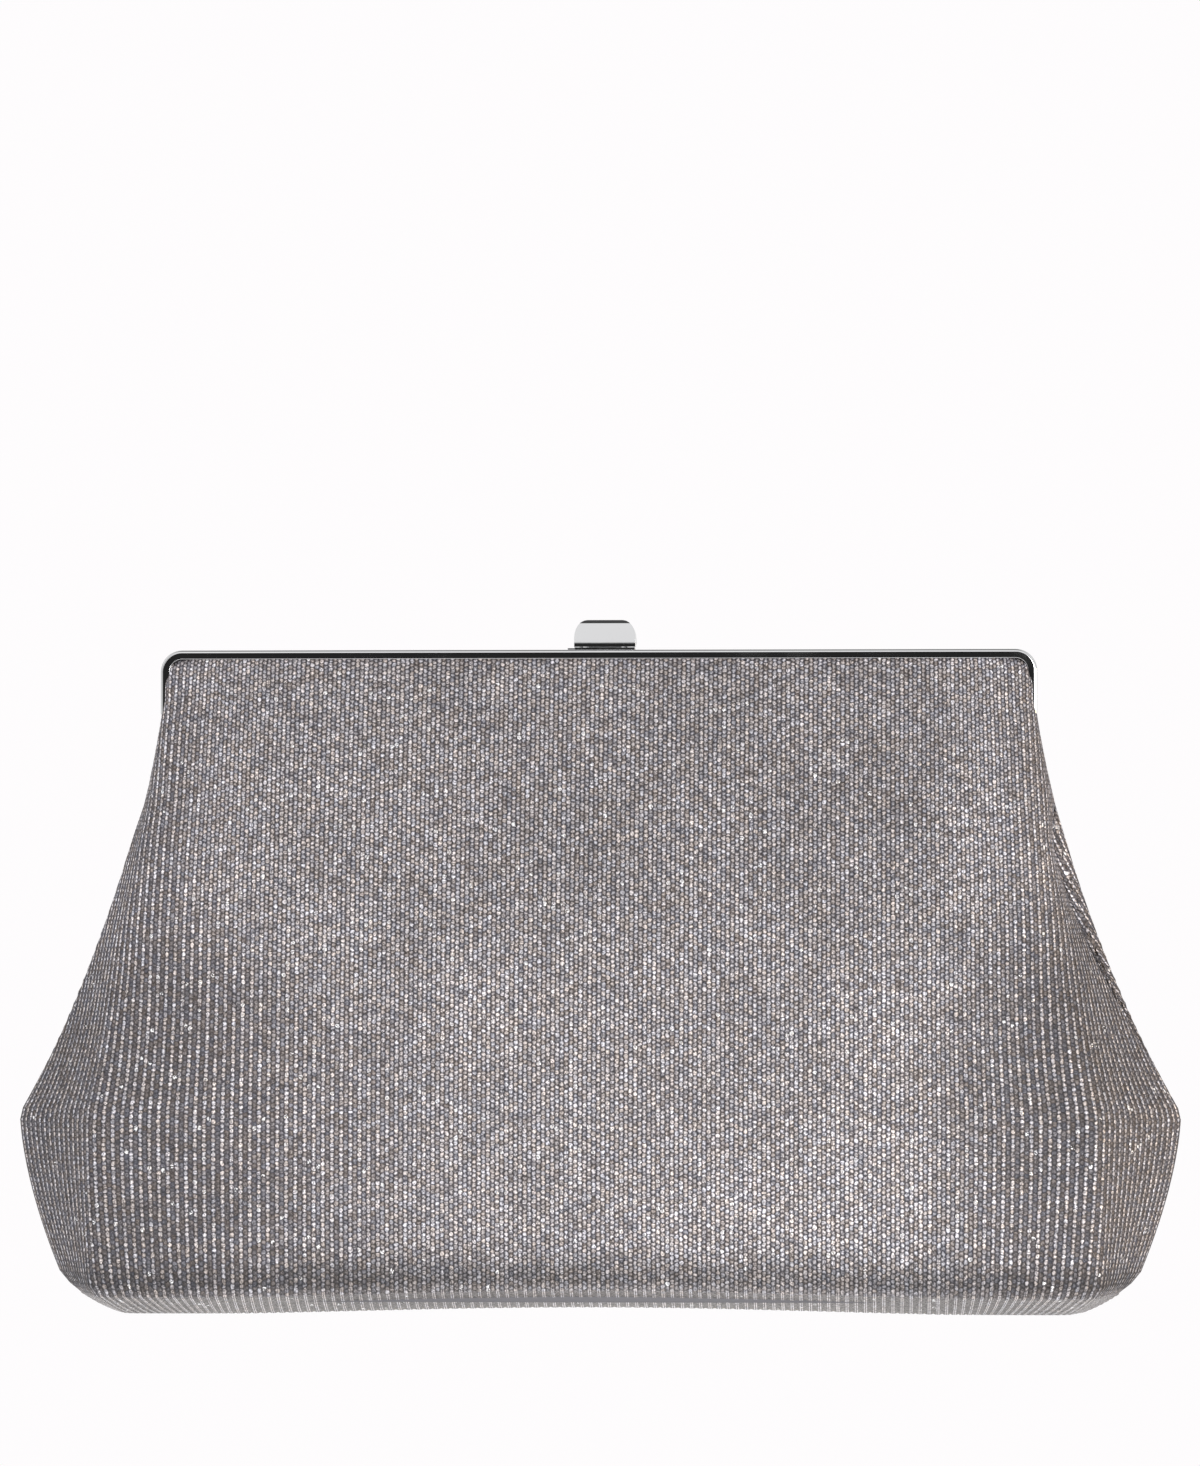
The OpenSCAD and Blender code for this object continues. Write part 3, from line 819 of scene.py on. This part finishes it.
def level_points(z, lengths):
    """Points of the front panel at height z for ribs at these signed distances."""
    halves = []
    for side, puffed in ((-1, True), (1, False)):
        outline = outline_at(z, puffed)
        along = np.abs(lengths[lengths * side > 0 if side < 0 else lengths >= 0])
        at = sample_outline(outline, fanned(along, z, outline_length(outline)))
        halves.append(np.stack([side * at[:, 0], at[:, 1], np.full(len(at), z)], 1))
    return np.concatenate(halves)


# %% [markdown]
# The cloth is soft and rests on wadding, so its face swells a little, differently from place
# to place. The swell only goes outwards, so it takes no room from the layers under it.

# %% Slow swells
SWELL = 1.3 * MM


def soft_shape(points):
    x, y, z = points[..., 0], points[..., 1], points[..., 2]
    sides = smooth((112 * MM - np.abs(x)) / (30 * MM))
    inside = sides * smooth((FRAME_TOP - z) / (30 * MM)) * smooth(z / (20 * MM))
    waves = 0.5 + 0.22 * np.sin(x * 38 + 1.3) * np.sin(z * 31 + 0.4)
    waves += 0.13 * np.sin(x * 71 - z * 40) + 0.15 * np.cos(x * 14)
    moved = points.copy()
    moved[..., 1] = y - SWELL * inside * waves
    return moved


def base_rows(turn):
    """Round the bottom edge and under the bag to the middle of the base."""
    made = []
    for share in (0.0, 0.03, 0.08, 0.16, 0.26, 0.38, 0.5, 0.65, 0.82, 1.0):
        row = turn.copy()
        row[:, 1] = turn[:, 1] * (1 - share)
        across = np.abs(turn[:, 1]) - np.abs(row[:, 1])
        inward = np.minimum(across / BASE_SLANT, 1)
        lift = BASE_EDGE * (1 - inward) - 0.35 * MM * np.sin(np.pi * inward)
        ends = smooth((np.abs(turn[:, 0]) - 78 * MM) / (36 * MM))
        row[:, 0] -= np.sign(turn[:, 0]) * END_SLANT * inward * ends
        row[:, 2] = np.maximum(lift, 0) + arch(row[:, 0])
        made.append(row)
    return np.array(made)


def cover_grid():
    count = math.ceil(WIDEST_REACH / RIB * COLUMNS_PER_RIB)
    lengths = np.arange(-count, count + 1) * RIB / COLUMNS_PER_RIB
    wall = soft_shape(np.array([level_points(z, lengths) for z in cover_rows()]))
    wall[..., 2] += arch(wall[..., 0]) * smooth((22 * MM - wall[..., 2]) / (18 * MM))
    points = np.concatenate([wall, base_rows(level_points(BASE_EDGE, lengths))])
    steps = np.linalg.norm(np.diff(points[:, count], axis=0), axis=1)
    run = np.concatenate([[0], np.cumsum(steps)])
    u = np.broadcast_to(lengths / RIB, points.shape[:2])
    v = np.broadcast_to((run / STITCH)[:, None], points.shape[:2])
    return points, np.stack([u, v], -1), run[-1]


cover_points, cover_uv, cover_length = cover_grid()


# %% [markdown]
# The knit changes from place to place. Ribs lie flat where the cloth is sewn or held. Round
# the sides the sunken columns get painted shade, and the cloth gets painted light over the
# belly and beside the arms and painted shade just above the base's edge. Each of these is a
# number painted on the mesh, which the rib tree and the knit's finish read by name.

# %% Front and rear cover
def relief_share(place):
    """Ribs stand full at the sides and lower on the faces, and not where cloth is sewn or held."""
    seam = np.minimum(smooth((np.abs(place[:, 1]) - 0.2 * MM) / (2.5 * MM)), 1)
    seam = np.where(place[:, 2] < BASE_EDGE, 1.0, seam)
    top = smooth((TOP_Z - place[:, 2]) / (3 * MM))
    facet = 0.62 + 0.38 * smooth((np.abs(place[:, 0]) - 50 * MM) / (60 * MM))
    return seam * top * facet


def painted_valley_shade_share(place):
    """Painted shade in the sunken columns: on the side facets, and low down further in."""
    x = place[:, 0] * np.where(place[:, 1] > 0, -1, 1)
    rise = smooth((place[:, 2] - 45 * MM) / (60 * MM))
    left = smooth((-x - (15 + 62 * rise) * MM) / ((75 - 45 * rise) * MM))
    right = smooth((x - (62 + 22 * rise) * MM) / ((45 - 20 * rise) * MM))
    return 0.12 + 0.88 * np.maximum(left, right)


def stretched_share(place):
    """Where the cloth is drawn round the base's edge and under the bag."""
    return smooth((BASE_EDGE + arch(place[:, 0]) + 0.6 * MM - place[:, 2]) / (1.4 * MM))


def painted_light_level(place):
    """Painted light and shade: brighter over the belly and beside the arms, darker just above the base's
    edge.
    """
    height = place[:, 2] - BASE_EDGE - arch(place[:, 0])
    # Painted shade in a band just above the base's edge.
    painted_shade_band = smooth(height / (1.0 * MM)) * smooth((9 * MM - height) / (6 * MM))
    aside = np.abs(place[:, 0])
    middle = smooth((115 * MM - aside) / (60 * MM))
    # Painted light over the belly.
    belly = middle * smooth((100 * MM - height) / (60 * MM)) * smooth((height - 3 * MM) / (14 * MM))
    # Painted light beside the frame's arms.
    painted_side_light = smooth((aside - 72 * MM) / (22 * MM)) * smooth((height - 62 * MM) / (30 * MM))
    return 1.0 + 0.24 * belly + 0.24 * painted_side_light - 0.42 * painted_shade_band


def vertex_places(mesh):
    place = np.zeros(len(mesh.vertices) * 3, np.float32)
    mesh.vertices.foreach_get("co", place)
    return place.reshape(-1, 3)


def rib_numbers(mesh):
    corner_uv = np.zeros(len(mesh.loops) * 2, np.float32)
    mesh.uv_layers["cloth"].data.foreach_get("uv", corner_uv)
    corner_vertex = np.zeros(len(mesh.loops), np.int32)
    mesh.loops.foreach_get("vertex_index", corner_vertex)
    ribs = np.zeros(len(mesh.vertices), np.float32)
    ribs[corner_vertex] = corner_uv[0::2]
    return ribs


def cover_panel(name, points, uv):
    panel = grid_piece(name, points, uv, KNIT)
    point_attribute(panel, "rib", rib_numbers(panel.data))
    place = vertex_places(panel.data)
    point_attribute(panel, "relief", relief_share(place))
    # Painted shade for the sunken columns.
    point_attribute(panel, "painted_valley_shade", painted_valley_shade_share(place))
    point_attribute(panel, "stretched", stretched_share(place))
    # Painted light and shade.
    point_attribute(panel, "painted_light", painted_light_level(place))
    run_tree(panel, RIB_TREE, {"Height": RIB_HEIGHT, "Finish": KNIT})
    return thicken(panel, COVER_THICKNESS)


def bend_with(piece):
    """Bakes the piece's placement into its mesh."""
    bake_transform(piece)


TURNED_ROUND = np.array([-1, -1, 1])
for name, half, turn in (("front", "front_half", 1), ("rear", "rear_half", TURNED_ROUND)):
    cover = cover_panel(f"{name}_cover_cloth", cover_points * turn, cover_uv)
    hidden = [f"{name}_cover", f"{name}_cover_top"] + (["base_cover"] if name == "front" else [])
    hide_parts(*hidden)
    bend_with(cover)
    print(cover.name, "faces:", len(cover.data.polygons))

# %% [markdown]
# ## The lining
#
# The lining is a second, slacker bag of satin inside the first. Near the frame it lies close
# behind the cover; lower down it stands in behind the wadding and the card. Slack satin hangs
# in shallow upright folds, so each panel gets a few, deeper towards the sides.

# %% Lining panels
LINING_THICKNESS = 0.4 * MM
lining_low, lining_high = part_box("front_lining")
LINING_WIDE = lining_high[0]
LINING_TOP_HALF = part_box("front_lining_top")[1][0]
LINING_INSET = HALF_DEPTH + lining_low[1]
TOP_INSET = COVER_THICKNESS + 0.55 * MM
LINING_TOP_Z = FRAME_TOP - 2.4 * MM
BASE_LINING_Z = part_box("base_lining")[0][2]
FLARE_Z = HINGE_Z - 5 * MM


def lining_x(z):
    share = np.clip((FLARE_Z - z) / (FLARE_Z - WIDEST_Z), 0, 1) ** 1.5
    low = np.clip(side_x(WIDEST_Z) - side_x(z), 0, None) * (z < WIDEST_Z)
    return LINING_TOP_HALF + (LINING_WIDE - LINING_TOP_HALF) * share - low


def lining_inset(z):
    return TOP_INSET + (LINING_INSET - TOP_INSET) * smooth((HINGE_Z + 1 * MM - z) / (20 * MM))


def lining_outline(z):
    inset = float(lining_inset(z))
    back = float(np.clip(FLARE_Z - z, 3.5 * MM, 10 * MM))
    outline = half_outline(float(lining_x(z)), back, float(half_depth(z)) - inset, 6 * MM)
    return behind_flange(outline, z)


def lining_folds(points):
    """Shallow upright folds that lean inwards only."""
    x, z = points[..., 0], points[..., 2]
    hang = smooth((LINING_TOP_Z - z) / (40 * MM)) * smooth((z - BASE_LINING_Z) / (25 * MM))
    wave = 0.5 + 0.5 * np.sin(x * 210 + 3 * np.sin(z * 22) + 2 * np.sin(x * 60))
    wave *= 0.35 + 0.65 * smooth(np.abs(x) / (70 * MM))
    moved = points.copy()
    moved[..., 1] += np.sign(-points[..., 1]) * 0.9 * MM * hang * wave
    return moved


LINING_COLUMNS = 181
LINING_ROWS = 64


def lining_grid():
    """Rows of the front lining, evenly spaced along each level cut."""
    rows = []
    for z in np.linspace(LINING_TOP_Z, BASE_LINING_Z + 0.5 * MM, LINING_ROWS):
        outline = lining_outline(z)
        share = np.linspace(-1, 1, LINING_COLUMNS)
        at = sample_outline(outline, np.abs(share) * outline_length(outline))
        rows.append(np.stack([np.sign(share) * at[:, 0], at[:, 1], np.full(LINING_COLUMNS, z)], 1))
    return lining_folds(np.array(rows))


def plain_uv(points):
    """A UV map in metres, for a panel of cloth with no counted pattern."""
    rows, columns, _ = points.shape
    u = np.broadcast_to(np.arange(columns) * 0.0015, (rows, columns))
    v = np.broadcast_to(np.arange(rows)[:, None] * 0.0025, (rows, columns))
    return np.stack([u, v], -1)


lining_points = lining_grid()

for name, half, turn in (("front", "front_half", 1), ("rear", "rear_half", TURNED_ROUND)):
    lining = grid_piece(f"{name}_lining_satin", lining_points * turn, plain_uv(lining_points), SATIN)
    thicken(lining, LINING_THICKNESS)
    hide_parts(f"{name}_lining", f"{name}_lining_top")
    bend_with(lining)

# %% [markdown]
# The base of the lining is a separate strip. Its long edges follow the lowest rows of the two
# lining panels, and between them the satin lies slightly rumpled on the card.

# %% Base of the lining
BASE_LINING_ROWS = 21


def base_lining_grid():
    front = lining_points[-1]
    rear = front * np.array([1, -1, 1])
    share = np.linspace(0, 1, BASE_LINING_ROWS)[:, None, None]
    points = front * (1 - share) + rear * share
    rumple = np.sin(points[..., 0] * 90 + 1) * np.sin(points[..., 1] * 120 + 2)
    edge = smooth((1 - np.abs(2 * share[..., 0] - 1)) * 4)
    points[..., 2] = BASE_LINING_Z + (0.45 + 0.35 * rumple * edge) * MM + 0.8 * arch(points[..., 0])
    return points


base_points = base_lining_grid()
base_lining = grid_piece("base_lining_satin", base_points, plain_uv(base_points), SATIN)
thicken(base_lining, LINING_THICKNESS)
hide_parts("base_lining")
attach(base_lining, "bag")

# %% [markdown]
# ## The slip pocket
#
# A patch of the same satin is sewn to the rear lining by its sides and its bottom, and bows
# out from it at the mouth. Its mouth is bound with a darker tape folded over the edge. The
# stitches that hold them are a Geometry Nodes tree: one small stitch repeated along a line.

# %% Pocket patch and binding
pocket_low, pocket_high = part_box("slip_pocket")
POCKET_HALF = pocket_high[0]
POCKET_LOW = pocket_low[2]
POCKET_TOP = pocket_high[2]
POCKET_BOW = 4.6 * MM
PATCH_THICKNESS = 0.5 * MM


def pocket_surface(share_x, z):
    """The patch's outer face, for share_x from -1 to 1 across and a height z."""
    up = (z - POCKET_LOW) / (POCKET_TOP - POCKET_LOW)
    bow = POCKET_BOW * smooth(np.clip(up, 0, 1) * 1.3) * (1 - share_x**2) ** 0.6
    lift = LINING_INSET + LINING_THICKNESS + 1.2 * MM + bow
    return np.stack([share_x * POCKET_HALF, half_depth(z) - lift, z], -1)


POCKET_COLUMNS = 61
across = np.linspace(-1, 1, POCKET_COLUMNS)
upward = np.linspace(POCKET_LOW, POCKET_TOP, 36)
share_grid, height_grid = np.meshgrid(across, upward)
patch_points = pocket_surface(share_grid, height_grid)
patch = grid_piece("pocket_patch", patch_points, plain_uv(patch_points), SATIN)
thicken(patch, PATCH_THICKNESS)
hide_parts("slip_pocket")
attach(patch, "bag")

TAPE_WIDTH = 5 * MM
TAPE_LIFT = 0.25 * MM
TAPE_THICKNESS = 0.18 * MM
TAPE_ROWS = 25
FOLD_SHARE = 0.12


def tape_grid():
    """A tape folded over the pocket's mouth: down its outside, up over and down its inside."""
    rows = []
    for turn in np.linspace(0, 1, TAPE_ROWS):
        side = 2 * turn - 1
        drop = np.clip(abs(side) - FOLD_SHARE, 0, 1) / (1 - FOLD_SHARE) * TAPE_WIDTH
        mouth = pocket_surface(across, np.full_like(across, POCKET_TOP))
        low = pocket_surface(across, np.full_like(across, POCKET_TOP - drop))
        half_fold = PATCH_THICKNESS / 2 + TAPE_LIFT
        tilt = np.clip(side / FOLD_SHARE, -1, 1)
        low[:, 1] += half_fold * tilt + PATCH_THICKNESS / 2
        low[:, 2] += half_fold * math.sqrt(max(0.0, 1 - tilt * tilt)) + 0.05 * MM
        low[:, 0] = mouth[:, 0]
        rows.append(low)
    return np.array(rows)


tape_points = tape_grid()
tape = grid_piece("pocket_binding_tape", tape_points, plain_uv(tape_points), BINDING)
thicken(tape, TAPE_THICKNESS, offset=0.0)
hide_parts("pocket_trim")
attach(tape, "bag")


# %% [markdown]
# Sewing thread shows as a row of short stitches. The tree turns a line of points into a
# curve, places one small stretched bead at even steps along it and turns each bead to lie
# along the line.

# %% Stitch tree
def stitch_tree():
    tree = Tree("stitch_row", ["Spacing", "Length", "Thickness"])
    line = tree.add("GeometryNodeMeshToCurve", {"Mesh": tree.given["Geometry"]})
    steps = {"Curve": line, "Length": tree.given["Spacing"]}
    spaced = tree.add("GeometryNodeResampleCurve", steps, mode="LENGTH")
    bead = tree.add("GeometryNodeMeshUVSphere", {"Segments": 6, "Rings": 5, "Radius": 0.5})
    width = tree.given["Thickness"]
    size = tree.add("ShaderNodeCombineXYZ", {0: tree.given["Length"], 1: width, 2: width})
    shaped = tree.add("GeometryNodeTransform", {"Geometry": bead, "Scale": size})
    along = {"Vector": tree.add("GeometryNodeInputTangent")}
    turned = tree.add("FunctionNodeAlignRotationToVector", along, axis="X")
    placed = {"Points": spaced, "Instance": shaped, "Rotation": turned}
    return tree.ended(tree.add("GeometryNodeInstanceOnPoints", placed))


STITCH_TREE = stitch_tree()


def line_piece(name, lines):
    """One object that holds these lines of points, each joined along its length."""
    points, edges = [], []
    for line in lines:
        first = len(points)
        points += [tuple(p) for p in line]
        edges += [(first + i, first + i + 1) for i in range(len(line) - 1)]
    mesh = bpy.data.meshes.new(name)
    mesh.from_pydata(points, edges, [])
    return link(name, mesh)


def stitch_rows(name, lines, spacing, length, thickness, material):
    """Stitches along each of these lines of points, as one mesh."""
    piece = line_piece(name, lines)
    sizes = {"Spacing": spacing, "Length": length, "Thickness": thickness}
    run_tree(piece, STITCH_TREE, {**sizes, "Finish": material})
    shade_smooth(piece)
    return piece


def off_the_patch(points, lift):
    moved = np.array(points)
    moved[..., 1] -= lift
    return moved


SEAM_INSET = 1.6 * MM
edge_share = 1 - SEAM_INSET / POCKET_HALF
sewn = upward[1:-3]
left_seam = pocket_surface(np.full_like(sewn, -edge_share), sewn)[::-1]
floor_seam = pocket_surface(across * edge_share, np.full_like(across, POCKET_LOW + SEAM_INSET))
right_seam = pocket_surface(np.full_like(sewn, edge_share), sewn)
binding_row = tape_points[3]
pocket_stitches = stitch_rows(
    "pocket_stitches",
    [off_the_patch(line, 0.05 * MM) for line in (left_seam, floor_seam, right_seam)]
    + [off_the_patch(binding_row, 0.12 * MM)],
    spacing=2.6 * MM, length=1.9 * MM, thickness=0.32 * MM, material=THREAD,
)
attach(pocket_stitches, "bag")
print("pocket stitches faces:", len(pocket_stitches.data.polygons))

# %% [markdown]
# ## Wadding
#
# A thin sheet of wadding lies between the cover and the card on each face. It is soft, so its
# surface is uneven and its edges thin out.

# %% Wadding sheets
padding_low, padding_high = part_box("front_padding")
WADDING_INSET = HALF_DEPTH + padding_low[1]
WADDING_THICKNESS = 0.9 * MM
WADDING_COLUMNS = 90
WADDING_ROWS = 44


def wadding_points(edge):
    """Points of one face of the wadding; edge is 0 on its outer face and 1 on its inner."""
    xs = np.linspace(padding_low[0], padding_high[0], WADDING_COLUMNS)
    zs = np.linspace(padding_low[2], padding_high[2], WADDING_ROWS)
    x, z = np.meshgrid(xs, zs)
    to_edge = np.minimum(padding_high[0] - np.abs(x), np.minimum(z - zs[0], zs[-1] - z))
    full = smooth(to_edge / (3 * MM)) * 0.75 + 0.25
    uneven = 1 + 0.12 * np.sin(x * 400) * np.sin(z * 380 + x * 90)
    half = WADDING_THICKNESS / 2 * full * uneven
    middle = half_depth(z) - WADDING_INSET - 0.5 * MM
    return np.stack([x, -middle + (half if edge else -half), z], -1)


def wadding_piece(name, turn):
    outer, inner = wadding_points(0) * turn, wadding_points(1) * turn
    rows, columns, _ = outer.shape
    index = np.arange(rows * columns).reshape(rows, columns)
    quads = np.stack([index[:-1, :-1], index[:-1, 1:], index[1:, 1:], index[1:, :-1]], -1)
    quads = quads.reshape(-1, 4)
    shift = rows * columns
    rim = np.concatenate([index[0, :-1], index[:-1, -1], index[-1, :0:-1], index[:0:-1, 0]])
    after = np.roll(rim, -1)
    wall = np.stack([rim, rim + shift, after + shift, after], -1)
    faces = quads.tolist() + (quads[:, ::-1] + shift).tolist() + wall.tolist()
    mesh = bpy.data.meshes.new(name)
    mesh.from_pydata(np.concatenate([outer.reshape(-1, 3), inner.reshape(-1, 3)]).tolist(), [], faces)
    return finish_mesh(link(name, mesh), WADDING)


for name, turn in (("front", 1), ("rear", TURNED_ROUND)):
    wadding = wadding_piece(f"{name}_wadding", turn)
    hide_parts(f"{name}_padding")
    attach(wadding, "bag")

# %% [markdown]
# ## Polished metal
#
# The frame halves and the clasp keep the CAD shapes, but stamped and polished metal has no
# knife edges. Each CAD mesh is copied, its loose triangles joined, and its edges rounded. The
# round of the rim's top edge is what draws the thin bright line along it.

# %% Rounded copies of the metal pieces
SHARP = math.radians(35)
RIM_CORNER = 5 * MM
HOLE_FACET = 0.2 * MM
MERGE_METAL = 0.002 * MM
FLAT_ANGLE = math.radians(1.5)


def merged_copy(name, node):
    mesh = frame["nodes"][node].data.copy()
    mesh.name = name
    work = bmesh.new()
    work.from_mesh(mesh)
    bmesh.ops.remove_doubles(work, verts=work.verts, dist=MERGE_METAL)
    bmesh.ops.dissolve_limit(work, angle_limit=FLAT_ANGLE, verts=work.verts, edges=work.edges)
    work.to_mesh(mesh)
    work.free()
    return link(name, mesh)


def edge_weights(piece, outline_width, width):
    """Sharp edges get the small round, and those of the rim's own outline the wide one.

    The edges of rivet holes stay sharp: they are short, and a round would not fit on them.
    """
    mesh = piece.data
    work = bmesh.new()
    work.from_mesh(mesh)
    weight = work.edges.layers.float.new("bevel_weight_edge")
    far = max(abs(v.co.y) for v in work.verts)
    for edge in work.edges:
        short = edge.calc_length() < HOLE_FACET
        if short or len(edge.link_faces) != 2 or edge.calc_face_angle() < SHARP:
            continue
        outer = all(
            abs(v.co.y) > far - 0.01 * MM and on_outline(v.co.x, v.co.z) for v in edge.verts
        )
        edge[weight] = 1.0 if outer else width / outline_width
    work.to_mesh(mesh)
    work.free()


def on_outline(x, z):
    """Whether a point lies on the rim's outer outline: its top, its corners or its arms."""
    corner = np.array([HALF_FRAME - RIM_CORNER, FRAME_TOP - RIM_CORNER])
    over = np.maximum(np.array([abs(x), z]) - corner, 0)
    return np.linalg.norm(over) > RIM_CORNER - 0.05 * MM


def rounded(piece, width, segments, outline_width=None):
    if outline_width:
        edge_weights(piece, outline_width, width)
    bevel = piece.modifiers.new("edges", "BEVEL")
    bevel.width = outline_width or width
    bevel.segments = segments
    bevel.limit_method = "WEIGHT" if outline_width else "ANGLE"
    bevel.angle_limit = SHARP
    bevel.use_clamp_overlap = not outline_width
    shade_smooth(piece)
    weighted = piece.modifiers.new("flat_faces", "WEIGHTED_NORMAL")
    weighted.weight = 100
    return apply_modifiers(piece)


def metal_piece(name, node, body, width, segments=2, outline_width=None, shape=None):
    piece = merged_copy(name, node)
    if shape:
        shape(piece)
    rounded(piece, width, segments, outline_width)
    paint(piece, CHROME)
    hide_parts(node)
    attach(piece, body)
    return piece


TAB_TILT = math.tan(math.radians(6))
TAB_UPRIGHT = 1.4 * MM
TAB_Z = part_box("clasp_tab")[0][2]


def tilt_tab_face(piece):
    """The tab's face stands upright at its foot and leans back a little above it."""
    work = bmesh.new()
    work.from_mesh(piece.data)
    foot = TAB_Z + TAB_UPRIGHT
    bmesh.ops.bisect_plane(
        work, geom=work.verts[:] + work.edges[:] + work.faces[:],
        plane_co=(0, 0, foot), plane_no=(0, 0, 1),
    )
    for vertex in work.verts:
        if vertex.co.y < -1.4 * MM and vertex.co.z > foot:
            vertex.co.y += (vertex.co.z - foot) * TAB_TILT
    work.to_mesh(piece.data)
    work.free()


for half in ("front", "rear"):
    metal_piece(
        f"{half}_frame_metal", f"{half}_frame", f"{half}_half", 0.10 * MM, segments=4,
        outline_width=0.7 * MM,
    )
metal_piece("clasp_tab_metal", "clasp_tab", "clasp", 0.10 * MM, shape=tilt_tab_face)
metal_piece("clasp_base_metal", "clasp_base", "rear_half", 0.12 * MM)
metal_piece("strike_plate_metal", "strike_plate", "front_half", 0.12 * MM)

# %% [markdown]
# ## The twisted paper cords
#
# A cord of twisted paper wedges the cloth into each channel. Three strands wind round each
# other; a Geometry Nodes tree sweeps a round section along each strand's line.

# %% Strand tree and cords
def strand_tree():
    tree = Tree("paper_strands", ["Radius"])
    line = tree.add("GeometryNodeMeshToCurve", {"Mesh": tree.given["Geometry"]})
    round_section = {"Resolution": 8, "Radius": tree.given["Radius"]}
    section = tree.add("GeometryNodeCurvePrimitiveCircle", round_section)
    swept = {"Curve": line, "Profile Curve": section, "Fill Caps": True}
    return tree.ended(tree.add("GeometryNodeCurveToMesh", swept))


STRAND_TREE = strand_tree()
STRANDS = 3
TWIST_LENGTH = 4.2 * MM
POINTS_PER_TWIST = 12
STRAND_SHARE = 0.47


def strand_line(x0, x1, y, z, reach, start):
    xs = np.arange(x0, x1, TWIST_LENGTH / POINTS_PER_TWIST)
    angle = 2 * np.pi * (xs / TWIST_LENGTH) + start
    return np.stack([xs, y + reach * np.cos(angle), z + reach * np.sin(angle)], 1)


def twisted_cord(name, node, half, gaps):
    low, high = (np.array(c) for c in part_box(node))
    radius = (high[1] - low[1]) / 2
    strand_radius = radius * STRAND_SHARE
    middle = (low + high) / 2
    lines = [
        strand_line(x0, x1, middle[1], middle[2], radius - strand_radius, 2 * np.pi * k / STRANDS)
        for x0, x1 in gaps(low[0], high[0]) for k in range(STRANDS)
    ]
    piece = line_piece(name, lines)
    run_tree(piece, STRAND_TREE, {"Radius": strand_radius, "Finish": PAPER})
    shade_smooth(piece)
    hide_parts(node)
    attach(piece, half)
    return piece


tab_low, tab_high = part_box("clasp_tab")
tab_middle = (tab_low[0] + tab_high[0]) / 2
CORD_GAP = 6 * MM
notch = (tab_middle - CORD_GAP, tab_middle + CORD_GAP)
front_twist = twisted_cord(
    "front_paper_cord", "front_channel_cord", "front_half",
    lambda x0, x1: ((x0, notch[0]), (notch[1], x1)),
)
twisted_cord("rear_paper_cord", "rear_channel_cord", "rear_half", lambda x0, x1: ((x0, x1),))
print("paper cord faces:", len(front_twist.data.polygons))

# %% [markdown]
# ## The base card
#
# A strip of card stiffens the base. It follows the lift of the base between its ends, so it
# is made here as a bent sheet and not kept from the CAD. Its corners are trimmed.

# %% Base card
CARD_CLEAR = 3.5 * MM
CARD_SIDE_CLEAR = 1.5 * MM
CARD_DROP = 0.3 * MM
CARD_THICKNESS = 0.9 * MM
CARD_TRIM = 0.10
card_low, card_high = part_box("base_board")


def base_card_grid():
    xs = np.linspace(-1, 1, 61)
    share, depth = np.meshgrid(xs, np.linspace(-1, 1, 9))
    narrow = 1 - CARD_TRIM * np.abs(depth) ** 3
    x = share * (card_high[0] - CARD_CLEAR) * narrow
    y = depth * (card_high[1] - CARD_SIDE_CLEAR)
    return np.stack([x, y, card_low[2] - CARD_DROP + arch(x)], -1)


card_points = base_card_grid()
base_card = grid_piece("base_card", card_points, plain_uv(card_points), CARD)
thicken(base_card, CARD_THICKNESS, offset=1.0)
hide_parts("base_board")
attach(base_card, "bag")

# %% [markdown]
# ## Finishes on the CAD pieces that stay
#
# Rivets, washers, the pin, the spring, the latch and the face boards are exact as the CAD has
# them. Only their material is set; their meshes are left alone.

# %% CAD finishes
CAD_FINISH = {
    "clasp_base_rivets": CHROME, "strike_rivets": CHROME,
    "hinge_rivet_left": CHROME, "hinge_rivet_right": CHROME,
    "hinge_washer_left": NYLON, "hinge_washer_right": NYLON,
    "clasp_pin": STEEL, "clasp_spring": STEEL, "clasp_latch": STEEL,
    "front_board": CARD, "rear_board": CARD,
}
for node, material in CAD_FINISH.items():
    paint(frame["nodes"][node], material)

# %% [markdown]
# ## Floor
#
# The bag stands on plain white paper. The floor glows evenly, so it shows as the same white
# as the background, and the metal and the cloth don't mirror it: they see the sky's ground.

# %% Floor
FLOOR_REACH = 3.0

floor_mesh = bpy.data.meshes.new("floor")
turns = ((-1, -1), (1, -1), (1, 1), (-1, 1))
floor_corners = [(side * FLOOR_REACH, front * FLOOR_REACH, 0) for side, front in turns]
floor_mesh.from_pydata(floor_corners, [], [(0, 1, 2, 3)])
floor = link("floor", floor_mesh)


def floor_finish():
    f = Finish("floor")
    glow = f.node("ShaderNodeEmission", inputs={0: PAPER_WHITE, 1: 1.0})
    out = f.tree.nodes["Material Output"]
    f.tree.links.new(glow.socket, out.inputs[0])
    return f.material


floor_mesh.materials.append(floor_finish())
floor.visible_glossy = False
floor.visible_diffuse = False
floor.visible_shadow = False
